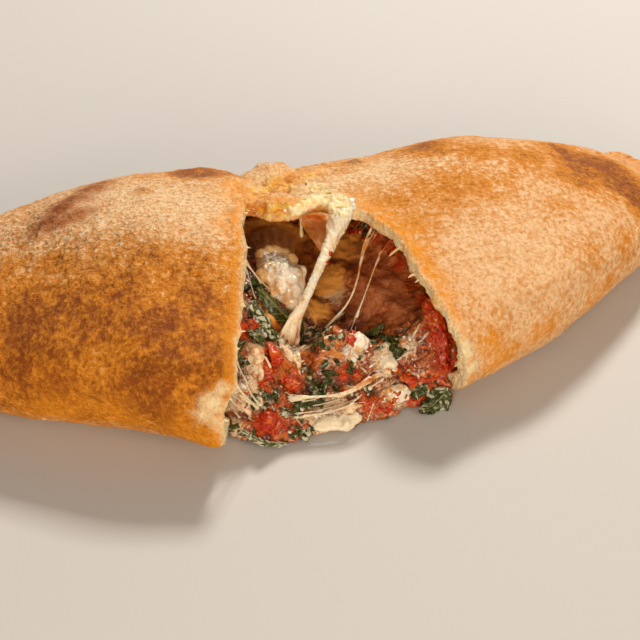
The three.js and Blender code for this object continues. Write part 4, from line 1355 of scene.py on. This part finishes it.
STRANDS = (        # solid, slices, fibres, how far they part in mm, share of its radius, oil below, above
    ("cheese_strand_back", 8, 5, 3.0, 0.45, 0.3, 0.7), ("cheese_strand_thin", 8, 3, 2.0, 0.5, 0.0, 0.9),
    ("cheese_strand_front", 8, 6, 1.4, 0.5, 0.3, 0.6), ("cheese_thread_front", 8, 3, 1.5, 0.6, 0.1, 0.1),
    ("cheese_strand_left", 5, 4, 1.0, 0.5, 0.3, 0.5), ("cheese_strand_corner", 5, 5, 1.4, 0.4, 0.1, 0.4),
)
MELTS = ("cheese_smear", 10, 1.0), ("cheese_puddle", 16, 1.4)    # solid, lobes, their size in mm
RIVULETS = (                              # place, reach across and down, count, radius in mm, heading
    ((240, 395), 7, 14, 8, 0.4, (0.5, -0.6, -0.6)), ((330, 413), 22, 5, 12, 0.55, (1, -0.1, 0)),
    ((340, 352), 18, 12, 5, 0.35, (0.8, -0.4, -0.3)), ((385, 362), 14, 10, 4, 0.4, (0.8, 0.3, 0.2)),
    ((290, 352), 10, 8, 6, 0.5, (0.6, -0.6, -0.4)), ((318, 330), 10, 5, 5, 0.4, (-0.8, -0.3, -0.4)),
    ((258, 318), 8, 20, 4, 0.35, (0.5, -0.5, -0.6)), ((405, 345), 14, 14, 2, 0.5, (0.6, 0.2, 0.4)),
    ((390, 396), 16, 6, 4, 0.45, (1, 0.3, 0)), ((345, 378), 16, 6, 3, 0.35, (1, 0, 0)),
    ((262, 402), 12, 12, 3, 0.35, (0.6, -0.5, -0.5)), ((270, 285), 12, 6, 5, 0.5, (0.7, -0.3, -0.3)),
    ((352, 345), 4, 3, 4, 0.9, (1, 0, -0.3)), ((378, 356), 4, 3, 4, 0.9, (1, 0.3, 0)),
    ((280, 350), 4, 3, 4, 0.8, (0.6, -0.5, -0.4)), ((254, 358), 3, 4, 3, 0.8, (0.5, -0.5, -0.6)),
    ((236, 396), 3, 5, 4, 0.8, (0.5, -0.5, -0.6)), ((384, 397), 5, 3, 4, 0.8, (1, 0.3, 0)),
)
RICOTTAS = (                              # solid, lobes, their size in mm
    ("ricotta_mound", 26, 2.5), ("ricotta_middle", 12, 1.1), ("ricotta_front", 12, 1.1),
)
TOMATOES = (                              # solid, and from 0 for plain red flesh to 1 for creamed
    ("tomato_front", 0.05), ("tomato_left", 0.2), ("tomato_ridge", 0.35), ("tomato_valley", 0.3),
    ("tomato_middle", 0.2), ("tomato_crumbs", 0.3), ("tomato_right", 0.3),
)
# The last column is how much pale smear a leaf has: cheese on some leaves, and painted sheen on the wet
# ones.
LEAVES = (                                # solid, slices, how much wider than the solid, ruffle mm, milky
    ("spinach_under_ricotta", 6, 1.4, 1.0, 0.0), ("spinach_striped", 6, 1.5, 0.8, 0.6),
    ("spinach_left", 5, 1.4, 0.8, 0.0), ("spinach_middle", 5, 1.4, 0.8, 0.0),
    ("spinach_front", 6, 1.15, 1.2, 0.3), ("spinach_stem", 6, 1.1, 0.5, 0.6),
)
OUTWARD = (-0.15, -0.75, 0.65)            # out of the mouth and up

PULP_BEDS = (                             # place, reach across and down, count, mean size in mm, creamed
    ((248, 330), 5, 7, 50, 0.42, 0.15), ((258, 348), 5, 7, 80, 0.42, 0.2),
    ((269, 367), 5, 9, 90, 0.42, 0.25), ((262, 385), 5, 12, 60, 0.42, 0.3),
    ((246, 396), 6, 8, 30, 0.42, 0.3), ((264, 425), 11, 9, 60, 0.5, 0.1), ((290, 384), 9, 6, 60, 0.45, 0.2),
    ((295, 427), 10, 5, 40, 0.42, 0.3), ((352, 374), 12, 5, 60, 0.45, 0.3),
    ((335, 348), 10, 10, 30, 0.38, 0.8), ((405, 372), 8, 9, 40, 0.5, 0.45),
    ((432, 382), 12, 9, 44, 0.54, 0.35), ((428, 325), 5, 22, 36, 0.42, 0.25),
    ((440, 355), 7, 22, 36, 0.42, 0.2), ((372, 402), 12, 6, 40, 0.42, 0.4),
    ((365, 228), 10, 7, 60, 0.55, 0.1), ((392, 246), 8, 9, 50, 0.55, 0.15),
    ((412, 276), 5, 10, 40, 0.45, 0.15), ((318, 345), 10, 14, 40, 0.35, 0.7),
    ((388, 408), 12, 6, 50, 0.42, 0.25), ((400, 335), 14, 8, 24, 0.4, 0.9),
    ((352, 338), 4, 4, 30, 0.5, 0.15), ((385, 350), 22, 14, 20, 0.4, 0.9),
    ((330, 390), 14, 5, 30, 0.4, 0.5), ((280, 405), 16, 8, 40, 0.4, 0.4),
    ((420, 400), 10, 5, 30, 0.42, 0.3), ((395, 395), 9, 6, 24, 0.4, 0.5), ((331, 254), 1, 1, 5, 0.6, 0.1),
    ((327, 261), 1, 1, 4, 0.5, 0.1),
)
LIP_BEDS = (((449, 345), 2, 14, 12, 0.6, 0.2), ((448, 362), 3, 8, 12, 0.6, 0.2))
CURD_BEDS = (                             # place, reach across and down, count, mean size in mm
    ((276, 262), 10, 9, 50, 0.8), ((290, 350), 10, 7, 24, 0.6), ((357, 352), 9, 7, 22, 0.7),
    ((392, 396), 11, 7, 26, 0.7), ((384, 362), 9, 7, 20, 0.6), ((330, 414), 20, 5, 30, 0.6),
    ((242, 392), 7, 12, 26, 0.55), ((255, 345), 7, 9, 12, 0.5), ((345, 395), 20, 6, 8, 0.5),
    ((410, 345), 12, 12, 6, 0.5),
)
SCRAP_BEDS = (                            # the same for the leaf scraps
    ((256, 292), 8, 10, 10, 1.5), ((258, 325), 9, 16, 14, 1.4), ((240, 362), 7, 12, 14, 1.2),
    ((268, 398), 12, 12, 14, 1.2), ((320, 338), 16, 10, 22, 1.1), ((366, 228), 10, 6, 12, 1.2),
    ((325, 384), 12, 6, 10, 1.4), ((372, 336), 10, 5, 6, 1.2), ((395, 350), 18, 12, 10, 1.5),
    ((415, 385), 14, 10, 12, 1.2), ((312, 403), 12, 4, 8, 1.2), ((298, 430), 12, 5, 10, 1.0),
    ((436, 396), 12, 9, 8, 1.6), ((275, 275), 8, 6, 3, 1.0), ((240, 430), 8, 6, 5, 1.2),
    ((345, 365), 14, 8, 6, 1.4), ((290, 410), 14, 8, 12, 0.9),
)
MOUTH = (-30, -60, 0), (50, 6, 28)        # the open part of the filling, mm

WEB = {                                   # its top corners, its two sides and its depth, mm
    "left": (5.84, 1.6, 43.8), "right": (16.34, -1.6, 43.4), "drop": (-0.5, -0.5, -2.5),
    "reach": (-6.5, -9.5, -7.5), "bulge": 3.4,
}
THREADS = (                               # ends in the view, radius and sag in mm
    ((235, 384), (259, 410), 0.35, 0.5), ((244, 256), (262, 285), 0.2, 0.4),
    ((245, 262), (270, 290), 0.16, 0.5), ((246, 268), (256, 300), 0.16, 0.4),
    ((303, 406), (347, 396), 0.22, 1.0), ((291, 414), (361, 397), 0.2, 1.4),
    ((374, 403), (367, 421), 0.22, 0.2), ((308, 328), (340, 318), 0.3, 0.8),
    ((312, 332), (345, 312), 0.25, 0.8), ((230, 398), (243, 412), 0.25, 0.3),
    ((229, 403), (240, 418), 0.22, 0.3), ((229, 392), (246, 404), 0.2, 0.3),
    ((300, 402), (330, 392), 0.25, 0.8), ((236, 360), (248, 384), 0.25, 0.4),
    ((342, 330), (330, 350), 0.2, 0.4), ((355, 395), (384, 378), 0.3, 0.6),
)
THREAD_BEDS = (                           # place, reach across and down, count
    ((240, 398), 8, 16, 5), ((322, 402), 24, 8, 5), ((318, 332), 12, 5, 3), ((345, 352), 20, 12, 3),
    ((262, 300), 10, 20, 4),
)
WHISKERS = (                              # root in the view, and where it points to
    ((399, 248), (389, 255)), ((401, 251), (393, 252)), ((414, 274), (408, 277)),
)
DRIP = ((301, 210), 11.5)                 # place of its root, length in mm
DRAPE = (                                 # where each fold leaves the wall, and where it lies on the mound
    ((255, 236), (262, 257)), ((262, 232), (268, 254)), ((270, 231), (276, 253)), ((279, 234), (284, 256)),
    ((288, 240), (292, 262)),
)
ARCH = (                                  # crumb that hangs from the roof over the web
    (291, 213), (294, 211), (297, 209), (301, 206), (305, 204), (309, 203), (313, 202), (317, 202),
    (321, 202), (325, 203), (330, 204), (335, 204), (340, 205), (345, 206), (350, 207), (310, 198),
    (322, 197), (334, 199), (344, 201), (328, 193), (332, 210), (337, 210), (342, 210), (345, 212),
    (335, 214), (341, 215),
)


def dressed(node, name, voxel, soften, height, size, seed):
    """A piece with a solid's shape, rounded off and given lumps of its own."""
    piece = recast(node, name, voxel)
    mesh = piece.data
    points = evened(points_of(mesh), edges_of(mesh), soften)
    place_points(mesh, points)
    place_points(mesh, pushed(mesh, points, height * rough(points, size, seed)))
    return piece


def lobed(node, name, count, size, voxel, seed):
    """A soft lump with a solid's place and size, and rounded lobes all over it and round its foot."""
    lump = dressed(node, "lump", 0.5 * MM, 4, 0.6 * MM, 3.0 * MM, seed)
    points, facing = points_of(lump.data), facing_of(lump.data)
    faces = [tuple(face.vertices) for face in lump.data.polygons]
    bpy.data.objects.remove(lump)
    draw = np.random.default_rng(seed)
    ball, ball_faces = round_grain()
    parts = [(points, faces)]
    for k in draw.choice(len(points), count, replace=False):
        radius = size * MM * draw.uniform(0.5, 1.2)
        centre = points[k] - facing[k] * radius * 0.3
        centre[2] = max(centre[2], 0.6 * radius)
        parts.append((centre + ball * radius * draw.uniform(0.8, 1.2, 3), ball_faces))
    piece = fused(name, parts, voxel * MM, 3)
    rumpled(piece, 0.3 * MM, 1.8 * MM, seed + 3)
    return piece


def solid_line(node, slices, rows):
    """The middle line of a solid of the part, as rows of place, half width and half thickness."""
    even = recast(node, "measured", 0.4 * MM)
    path, axes = middle_line(points_of(even.data), slices)
    bpy.data.meshes.remove(even.data)
    return drawn(path, rows), axes


class CALZONE_OT_stretch_cheese(Operator):
    """Stretches the melted cheese between the halves"""

    bl_idname = "calzone.stretch_cheese"
    bl_label = "Stretch the cheese"

    def execute(self, context):
        material = melted_cheese(context.scene.calzone_cheese)
        carriers = Carriers(("baked_crust", "ricotta_filling"), 11)
        self.pull(material, carriers)
        for seed, (node, slices, fibres, splay, thickness, below, above) in enumerate(STRANDS, 50):
            line, _ = solid_line(node, slices, 44)
            radius = 0.5 * (line[:, 3] + line[:, 4])
            radius = radius * (0.4 + 0.7 * ramp(line[:, 0], line[:, 0].min(), line[:, 0].max()))
            radius = np.maximum(radius, 0.34 * MM / thickness)
            parts = carriers.bundle(line[:, :3], thickness * radius, fibres, splay * MM, seed)
            piece = fused(f"pulled_{node}", parts, 0.26 * MM, 2)
            rumpled(piece, 0.12 * MM, 1.2 * MM, seed)
            height = points_of(piece.data)[:, 2]
            self.stains(piece, below + (above - below) * ramp(height, height.min(), height.max()))
            seat(piece, material, "melted_cheese", node)
        for seed, (node, lobes, size) in enumerate(MELTS, 60):
            piece = lobed(node, f"melted_{node}", lobes, size, 0.3, seed)
            points = points_of(piece.data)
            points = evened(points, edges_of(piece.data), 8)
            flow = ridges(points * (0.3, 1, 1), 1.8 * MM, seed)
            place_points(piece.data, pushed(piece.data, points, 0.16 * MM * (flow - 0.5)))
            self.stains(piece, 0.1, 0.45)
            seat(piece, material, "melted_cheese", node)
        self.web(material)
        self.rivulets(material, carriers)
        self.threads(material, carriers)
        return {"FINISHED"}

    def web(self, material):
        """The thin sheet between the roof and the pull, hollow like a sail."""
        along, down = np.meshgrid(np.linspace(0, 1, 26), np.linspace(0, 1, 24), indexing="ij")
        along, down = along[:, :, None], down[:, :, None]
        left, right, drop, reach = (np.array(WEB[name]) * MM for name in ("left", "right", "drop", "reach"))
        wavy = rough(np.concatenate([along * 4, down * 3, 0 * down], axis=2).reshape(-1, 3), 0.8, 66)
        wavy = wavy.reshape(along.shape)
        below = down * (1 + 0.08 * wavy)
        arched = np.array((0, -0.4, 1.7)) * MM * np.sin(math.pi * along) * (1 - down) ** 2
        deep = WEB["bulge"] * MM * np.sin(math.pi * np.clip(down, 0.04, 1)) * np.sin(math.pi * along) ** 0.7
        sheet = left + along * (right - left) + below * (drop + along * (reach - drop)) + arched
        sheet = sheet + (deep + 0.3 * MM * wavy) * np.array((0.2, 1, 0))
        inwards = np.array((0.1, 0.28, 0)) * MM
        points = np.vstack([(sheet - inwards).reshape(-1, 3), (sheet + inwards).reshape(-1, 3)])
        piece = new_piece("drawn_cheese_web", points, sheet_faces(26, 24))
        # Full oil turns the web deep browned orange, partly its own colour and partly painted shade inside
        # its pocket.
        self.stains(piece, 1.0)
        seat(piece, material, "melted_cheese", "cheese_web")

    def rivulets(self, material, carriers):
        """Melted cheese that ran over the filling in flat, joined trails."""
        parts = []
        for place, reach_across, reach_down, count, radius, heading in RIVULETS:
            bed = ((place, reach_across, reach_down, count, radius),)
            points, facing, sizes = carriers.scattered(bed, ("ricotta_filling",))
            for seed, (point, size) in enumerate(zip(points, sizes), 900 + int(place[0])):
                line = carriers.rivulet("ricotta_filling", point, np.array(heading), 9, 1.1 * MM)
                thick = size * (1 - 0.75 * np.linspace(-1, 1, len(line)) ** 2)
                parts.append(strand(line, np.maximum(thick, 0.15 * MM), seed, 8, 0.4))
        piece = fused("cheese_rivulets", parts, 0.28 * MM, 2)
        rumpled(piece, 0.15 * MM, 1.4 * MM, 71)
        self.stains(piece, 0.5)
        seat(piece, material, "melted_cheese")

    def pull(self, material, carriers):
        """The thick pull from the roof down to the filling, white crumb above and oily cheese below, with
        painted shade along the sides that the view sees edge-on.
        """
        line, _ = solid_line("cheese_pull", 10, 70)
        line = line[np.argsort(-line[:, 2])]
        radius = 0.5 * (line[:, 3] + line[:, 4])
        share = np.linspace(0, 1, 70)
        radius = radius * (1 + 0.45 * bell(share, 0.16) - 0.27 * bell(share - 0.65, 0.3))
        parts = carriers.bundle(line[:, :3], 0.8 * radius, 7, 1.3 * MM, 47)
        parts.append(strand(carriers.caught(line[:, :3]), radius, 46, 14, 0.25))
        ball, faces = round_grain()
        for end, count in ((0, 16), (-1, 9)):
            for _ in range(count):
                shift = carriers.draw.uniform(-1, 1, 3) * (3.2, 1.0, 0.8) * MM
                shift[2] = -abs(shift[2])
                size = carriers.draw.uniform(0.9, 1.8) * MM
                parts.append((carriers.nearest(line[end, :3] + shift) + ball * size * (1, 1, 0.7), faces))
        piece = fused("pulled_cheese_pull", parts, 0.3 * MM, 5)
        points = points_of(piece.data)
        top = ramp(points[:, 2], 15 * MM, 26 * MM)
        porous = 0.5 * MM * ramp(points[:, 2], 22 * MM, 32 * MM) * (pits(points, 1.0 * MM, 48) - 0.5)
        crumbly = porous + 0.25 * MM * rough(points, 2.2 * MM, 46)
        place_points(piece.data, pushed(piece.data, points, crumbly))
        # The sides of the pull that the view sees edge-on are painted oilier and darker, with less white
        # dough: painted shade.
        beside = ramp(np.abs(facing_of(piece.data) @ np.array(view_axes()[0])), 0.5, 0.95)
        dough = 0.85 * top * ramp(lumps(points, 3 * MM, 49), -0.6, 0.1)
        self.stains(piece, 0.6 - 0.4 * top + 0.4 * beside, dough * (1 - 0.6 * beside))
        seat(piece, material, "melted_cheese", "cheese_pull")

    def stains(self, piece, oil, dough=0.0):
        """Oil between the fibres, which run along the length of a piece, and dough drawn out with it."""
        points = points_of(piece.data)
        away = points - points.mean(axis=0)
        ahead = np.linalg.svd(away[:: 1 + len(away) // 2000], full_matrices=False)[2][0]
        fibres = rough(away - 0.9 * (away @ ahead)[:, None] * ahead, 1.0 * MM, 45)
        stain(piece.data, "oiled", oil + 0.45 * fibres)
        stain(piece.data, "doughy", dough + np.zeros(len(points)))

    def threads(self, material, carriers):
        """Fine threads between places of the view, and shorter ones from curd to curd."""
        ends = [(carriers.spot(a), carriers.spot(b), r * MM, sag * MM) for a, b, r, sag in THREADS]
        beds = [(*bed, 1) for bed in THREAD_BEDS]        # the size isn't used, as each thread draws its own
        for point in carriers.scattered(beds, ("ricotta_filling",))[0]:
            shift = carriers.draw.normal(size=3) * 3.5 * MM
            near = np.array(carriers.trees["ricotta_filling"].find_nearest(Vector(point + shift))[0])
            ends.append((point, near, carriers.draw.uniform(0.1, 0.22) * MM, -0.3 * MM))
        parts = []
        share = np.linspace(0, 1, 14)
        for seed, (start, end, radius, sag) in enumerate(ends, 300):
            line = between_places(start, end, share)
            line[:, 2] -= sag * 4 * share * (1 - share)
            line = lifted(line + 0.12 * MM * drift(line, 3 * MM, seed), radius)
            parts.append(strand(line, flared(np.full(14, radius), 1.5, 0.12), seed, 6, 0.25))
        piece = joined("cheese_threads", parts)
        self.stains(piece, 0.0)
        seat(piece, material, "melted_cheese")


class CALZONE_OT_spoon_ricotta(Operator):
    """Spoons the ricotta into the mouth"""

    bl_idname = "calzone.spoon_ricotta"
    bl_label = "Spoon in the ricotta"

    def execute(self, context):
        material = soft_ricotta(context.scene.calzone_ricotta)
        for seed, (node, count, size) in enumerate(RICOTTAS, 70):
            piece = lobed(node, f"curd_{node}", count, size, 0.35, seed)
            points = points_of(piece.data)
            stain(piece.data, "filmed", ramp(points[:, 0], points[:, 0].mean(), points[:, 0].min()))
            seat(piece, material, "ricotta", node)
        wanted = "ricotta_filling", "curd_ricotta_mound"
        carriers = Carriers(("baked_crust", *wanted), 21)
        laid = carriers.scattered_and_over(CURD_BEDS, wanted, 24, 0.5)
        curds = strewn("ricotta_curds", round_grain(), *laid, carriers.draw, 0.25, (1.2, 1, 0.6))
        seat(curds, material, "ricotta")
        drape = self.drape(carriers)
        stain(drape.data, "filmed", np.ones(len(drape.data.vertices)))
        seat(drape, material, "melted_cheese")
        return {"FINISHED"}

    def drape(self, carriers):
        """Melted cheese that hangs in folds from the wall of the mouth down onto the mound."""
        share = np.linspace(0, 1, 16)
        parts = []
        for seed, (top, foot) in enumerate(DRAPE, 120):
            line = between_places(carriers.spot(top), carriers.spot(foot), share)
            parts.append(strand(line, (2.6 - 0.9 * np.sin(math.pi * share)) * MM, seed, 10, 0.3))
        return fused("melted_drape", parts, 0.4 * MM, 6)


class CALZONE_OT_crush_tomato(Operator):
    """Crushes the tomato into lumps and pulp"""

    bl_idname = "calzone.crush_tomato"
    bl_label = "Crush the tomato"

    def execute(self, context):
        material = crushed_tomato(context.scene.calzone_tomato)
        for seed, (node, creamed) in enumerate(TOMATOES, 80):
            piece = dressed(node, f"crushed_{node}", 0.35 * MM, 3, 0.7 * MM, 1.6 * MM, seed)
            tone = creamed + 0.25 * lumps(points_of(piece.data), 2.5 * MM, seed)
            stain(piece.data, "tone", tone)
            seat(piece, material, "tomato", node)
        soft = "ricotta_filling", "pulled_cheese_pull", "curd_ricotta_front", "curd_ricotta_middle"
        wanted = *soft, *(f"crushed_{node}" for node, _ in TOMATOES[1:])
        carriers = Carriers(("baked_crust", "crushed_tomato_front", *wanted), 31)
        laid = [(*carriers.over(120, 0.36), 0.9)]
        laid += [(*carriers.scattered((bed[:5],), wanted), bed[5]) for bed in (*PULP_BEDS, *LIP_BEDS)]
        laid = [bed for bed in laid if len(bed[0])]
        places, facing, sizes = (np.concatenate([bed[k] for bed in laid]) for k in range(3))
        pulp = strewn("tomato_pulp", round_grain(), places - 0.15 * MM * facing, facing, sizes,
                      carriers.draw, 0.7, (1.6, 1.1, 0.5))
        creamed = np.concatenate([np.full(len(bed[0]), bed[3]) for bed in laid])
        creamed += carriers.draw.uniform(-0.2, 0.2, len(creamed))
        run_together(pulp, 0.22 * MM, 1)
        nearest = KDTree(len(places))
        for k, place in enumerate(places):
            nearest.insert(place, k)
        nearest.balance()
        stain(pulp.data, "tone", np.array([creamed[nearest.find(p)[1]] for p in points_of(pulp.data)]))
        seat(pulp, material, "tomato")
        return {"FINISHED"}


class CALZONE_OT_wilt_spinach(Operator):
    """Wilts the spinach over the filling"""

    bl_idname = "calzone.wilt_spinach"
    bl_label = "Wilt the spinach"

    def execute(self, context):
        material = wilted_spinach(context.scene.calzone_spinach)
        for seed, (node, slices, wider, ruffle, cheese_smear_and_sheen) in enumerate(LEAVES, 90):
            line, axes = solid_line(node, slices, 60)
            taper = np.sqrt(np.clip(1 - np.linspace(-0.97, 0.97, 60) ** 4, 0, 1))
            away = axes[2] * np.sign(axes[2] @ OUTWARD)
            half_width = wider * line[:, 3] * taper
            points, faces, veins = ribbon(line[:, :3], half_width, away, 0.45 * MM, ruffle * MM, seed)
            piece = new_piece(f"wilted_{node}", lifted(points, 0.05 * MM), faces)
            stain(piece.data, "veined", veins)
            stain(piece.data, "cheese_smear_and_sheen", np.full(len(piece.data.vertices), cheese_smear_and_sheen))
            seat(piece, material, "spinach", node)
        carriers = Carriers(("baked_crust", "ricotta_filling"), 41)
        places, facing, sizes = carriers.scattered_and_over(SCRAP_BEDS, ("ricotta_filling",), 40, 1.0)
        scraps = strewn("spinach_scraps", flat_scrap(), places + facing * 0.25 * MM, facing, sizes,
                        carriers.draw, 0.45, (1.3, 0.9, 1), 0.35)
        stain(scraps.data, "cheese_smear_and_sheen", 0.22 * ramp(lumps(points_of(scraps.data), 6 * MM, 44), -0.2, 0.6))
        seat(scraps, material, "spinach")
        return {"FINISHED"}


class CALZONE_OT_tear_crumbs(Operator):
    """Leaves shreds of dough along the torn edge"""

    bl_idname = "calzone.tear_crumbs"
    bl_label = "Tear off shreds of dough"

    def execute(self, context):
        look = context.scene.calzone_crust
        carriers = Carriers(("baked_crust", "pulled_cheese_pull"), 51)
        mesh = bpy.data.objects["baked_crust"].data
        points, facing = points_of(mesh), facing_of(mesh)
        edge = np.flatnonzero((stained(mesh, "crumb") > 0.7) & (points[:, 2] > 4 * MM))
        parts = []
        for seed, (root, tip) in enumerate(WHISKERS, 500):
            start = carriers.spot(root)
            ahead = Vector(sight_line(*tip)[1]) - Vector(sight_line(*root)[1])
            parts.append(self.shred(start, np.array(ahead) * VIEW_DISTANCE, 0.45 * MM, seed))
        for seed, k in enumerate(carriers.draw.choice(edge, 40, replace=False), 600):
            reach = facing[k] * carriers.draw.uniform(0.2, 0.7) * MM
            reach = reach + carriers.draw.normal(size=3) * 0.4 * MM
            parts.append(self.shred(points[k], reach, carriers.draw.uniform(0.2, 0.4) * MM, seed))
        parts.append(self.drip(carriers))
        material = torn_dough(look)
        seat(joined("torn_shreds", parts), material, "baked_crust")
        seat(self.arch(carriers), material, "baked_crust")
        return {"FINISHED"}

    def arch(self, carriers):
        """Soft crumb in lumps along the roof's edge, over the web."""
        ball, faces = round_grain()
        parts = []
        for k, (across, down) in enumerate(ARCH):
            thick = 0.55 + 0.45 * math.sin(math.pi * min(1, (k + 1) / 15))
            for _ in range(4):
                shift = carriers.draw.normal(size=3) * (0.8, 0.5, 0.8) * MM
                centre = carriers.nearest(carriers.spot((across, down)) + shift)
                size = thick * carriers.draw.uniform(0.6, 1.5) * MM
                parts.append((centre + ball * size * carriers.draw.uniform(0.8, 1.3, 3), faces))
        piece = fused("torn_crumb_arch", parts, 0.3 * MM, 1)
        points = points_of(piece.data)
        crumbly = 0.2 * MM * (pits(points, 1.6 * MM, 79) - 0.5) + 0.2 * MM * rough(points, 2 * MM, 78)
        place_points(piece.data, pushed(piece.data, points, crumbly))
        return piece

    def drip(self, carriers):
        """A drop of soft dough that hangs from the roof."""
        place, reach = DRIP
        share = np.linspace(0, 1, 20)
        line = carriers.spot(place) + share[:, None] * (0.3 * MM, 0.5 * MM, -reach * MM)
        line += 0.25 * MM * drift(line, 4 * MM, 70)
        radius = (0.75 * (1 - share) ** 2 + 0.4 + 0.25 * bell(share - 0.85, 0.12)) * MM
        radius[-1] = 0.1 * MM
        return strand(line, radius, 77, 8, 0.3)

    def shred(self, start, reach, radius, seed):
        """A tapered shred of dough that sags a little."""
        share = np.linspace(-0.15, 1, 7)
        line = start + share[:, None] * reach
        line[:, 2] -= 0.15 * np.linalg.norm(reach) * share**2
        return strand(line, radius * np.linspace(1.3, 0.35, 7), seed, 6, 0.4)


# ------------------------------------------------------------------ the stage

FLOOR_HALF = 3.0                          # half its width, m
FLOOR_GAP = 0.2 * MM                      # how far it lies under the calzone


def area_light(name, direction, distance, size, power, tint):
    """A soft square light that looks at the middle of the calzone."""
    light = bpy.data.lights.new(name, "AREA")
    light.shape = "SQUARE"
    light.size = size
    light.energy = power
    light.color = linear(tint)[:3]
    lamp = new_object(name, light)
    lamp.location = Vector(direction).normalized() * distance
    lamp.rotation_euler = Vector(direction).to_track_quat("Z", "Y").to_euler()


class CALZONE_OT_set_stage(Operator):
    """Sets the floor, the lights and the camera"""

    bl_idname = "calzone.set_stage"
    bl_label = "Set the stage"

    def execute(self, context):
        look = context.scene.calzone_stage
        square = (-1, -1), (1, -1), (1, 1), (-1, 1)
        corners = [(x * FLOOR_HALF, y * FLOOR_HALF, -FLOOR_GAP) for x, y in square]
        floor = new_piece("floor", corners, [(0, 1, 2, 3)])
        floor.data.materials.append(matt_floor(look))
        area_light("window", (0.4, 0.62, 0.8), 1.1, 0.2, look.key, "#fff6ea")
        area_light("front", (0.55, -0.85, 0.36), 1.2, 0.45, look.fill, "#fff0dc")
        area_light("card", (-0.36, -0.88, 0.38), 0.9, 0.3, look.card, "#ffe9d0")
        self.light_room(context.scene, look.sky)
        self.set_camera(context.scene)
        context.scene.view_settings.view_transform = "Standard"
        return {"FINISHED"}

    def light_room(self, scene, strength):
        """Even warm light from all round."""
        world = bpy.data.worlds.new("soft studio")
        world.use_nodes = True
        background = world.node_tree.nodes["Background"]
        background.inputs["Color"].default_value = linear("#fbefe2")
        background.inputs["Strength"].default_value = strength
        scene.world = world

    def set_camera(self, scene):
        """A camera that looks down on the mouth from the front."""
        camera = bpy.data.cameras.new("view")
        camera.lens = LENS
        camera.sensor_width = SENSOR
        camera.clip_start = 0.01
        camera.clip_end = 20
        eye = new_object("view", camera)
        right, up, back = view_axes()
        turn = Matrix((right, up, back)).transposed().to_4x4()
        eye.matrix_world = Matrix.Translation(VIEW_AIM + back * VIEW_DISTANCE) @ turn
        scene.camera = eye


# ------------------------------------------------------------------ the add-on

STEPS = (
    CALZONE_OT_bake_crust, CALZONE_OT_fill, CALZONE_OT_stretch_cheese, CALZONE_OT_spoon_ricotta,
    CALZONE_OT_crush_tomato, CALZONE_OT_wilt_spinach, CALZONE_OT_tear_crumbs, CALZONE_OT_set_stage,
)
LOOKS = {
    "calzone_crust": CrustLook, "calzone_filling": FillingLook, "calzone_cheese": CheeseLook,
    "calzone_ricotta": RicottaLook, "calzone_tomato": TomatoLook, "calzone_spinach": SpinachLook,
    "calzone_stage": StageLook,
}


class CALZONE_PT_steps(Panel):
    """Lists the steps in the order in which the calzone is made"""

    bl_label = "Calzone"
    bl_idname = "CALZONE_PT_steps"
    bl_space_type = "VIEW_3D"
    bl_region_type = "UI"
    bl_category = "Calzone"

    def draw(self, context):
        for step in STEPS:
            self.layout.operator(step.bl_idname)


def register():
    """Adds the steps, the panel and the looks that they read."""
    for kind in (*LOOKS.values(), *STEPS, CALZONE_PT_steps):
        bpy.utils.register_class(kind)
    for name, kind in LOOKS.items():
        setattr(bpy.types.Scene, name, PointerProperty(type=kind))


def unregister():
    """Takes all of it away again."""
    for name in LOOKS:
        delattr(bpy.types.Scene, name)
    for kind in reversed((*LOOKS.values(), *STEPS, CALZONE_PT_steps)):
        bpy.utils.unregister_class(kind)


def main():
    """Makes the calzone, one step after another."""
    register()
    for step in STEPS:
        group, name = step.bl_idname.split(".")
        getattr(getattr(bpy.ops, group), name)()


if __name__ == "__main__":
    main()
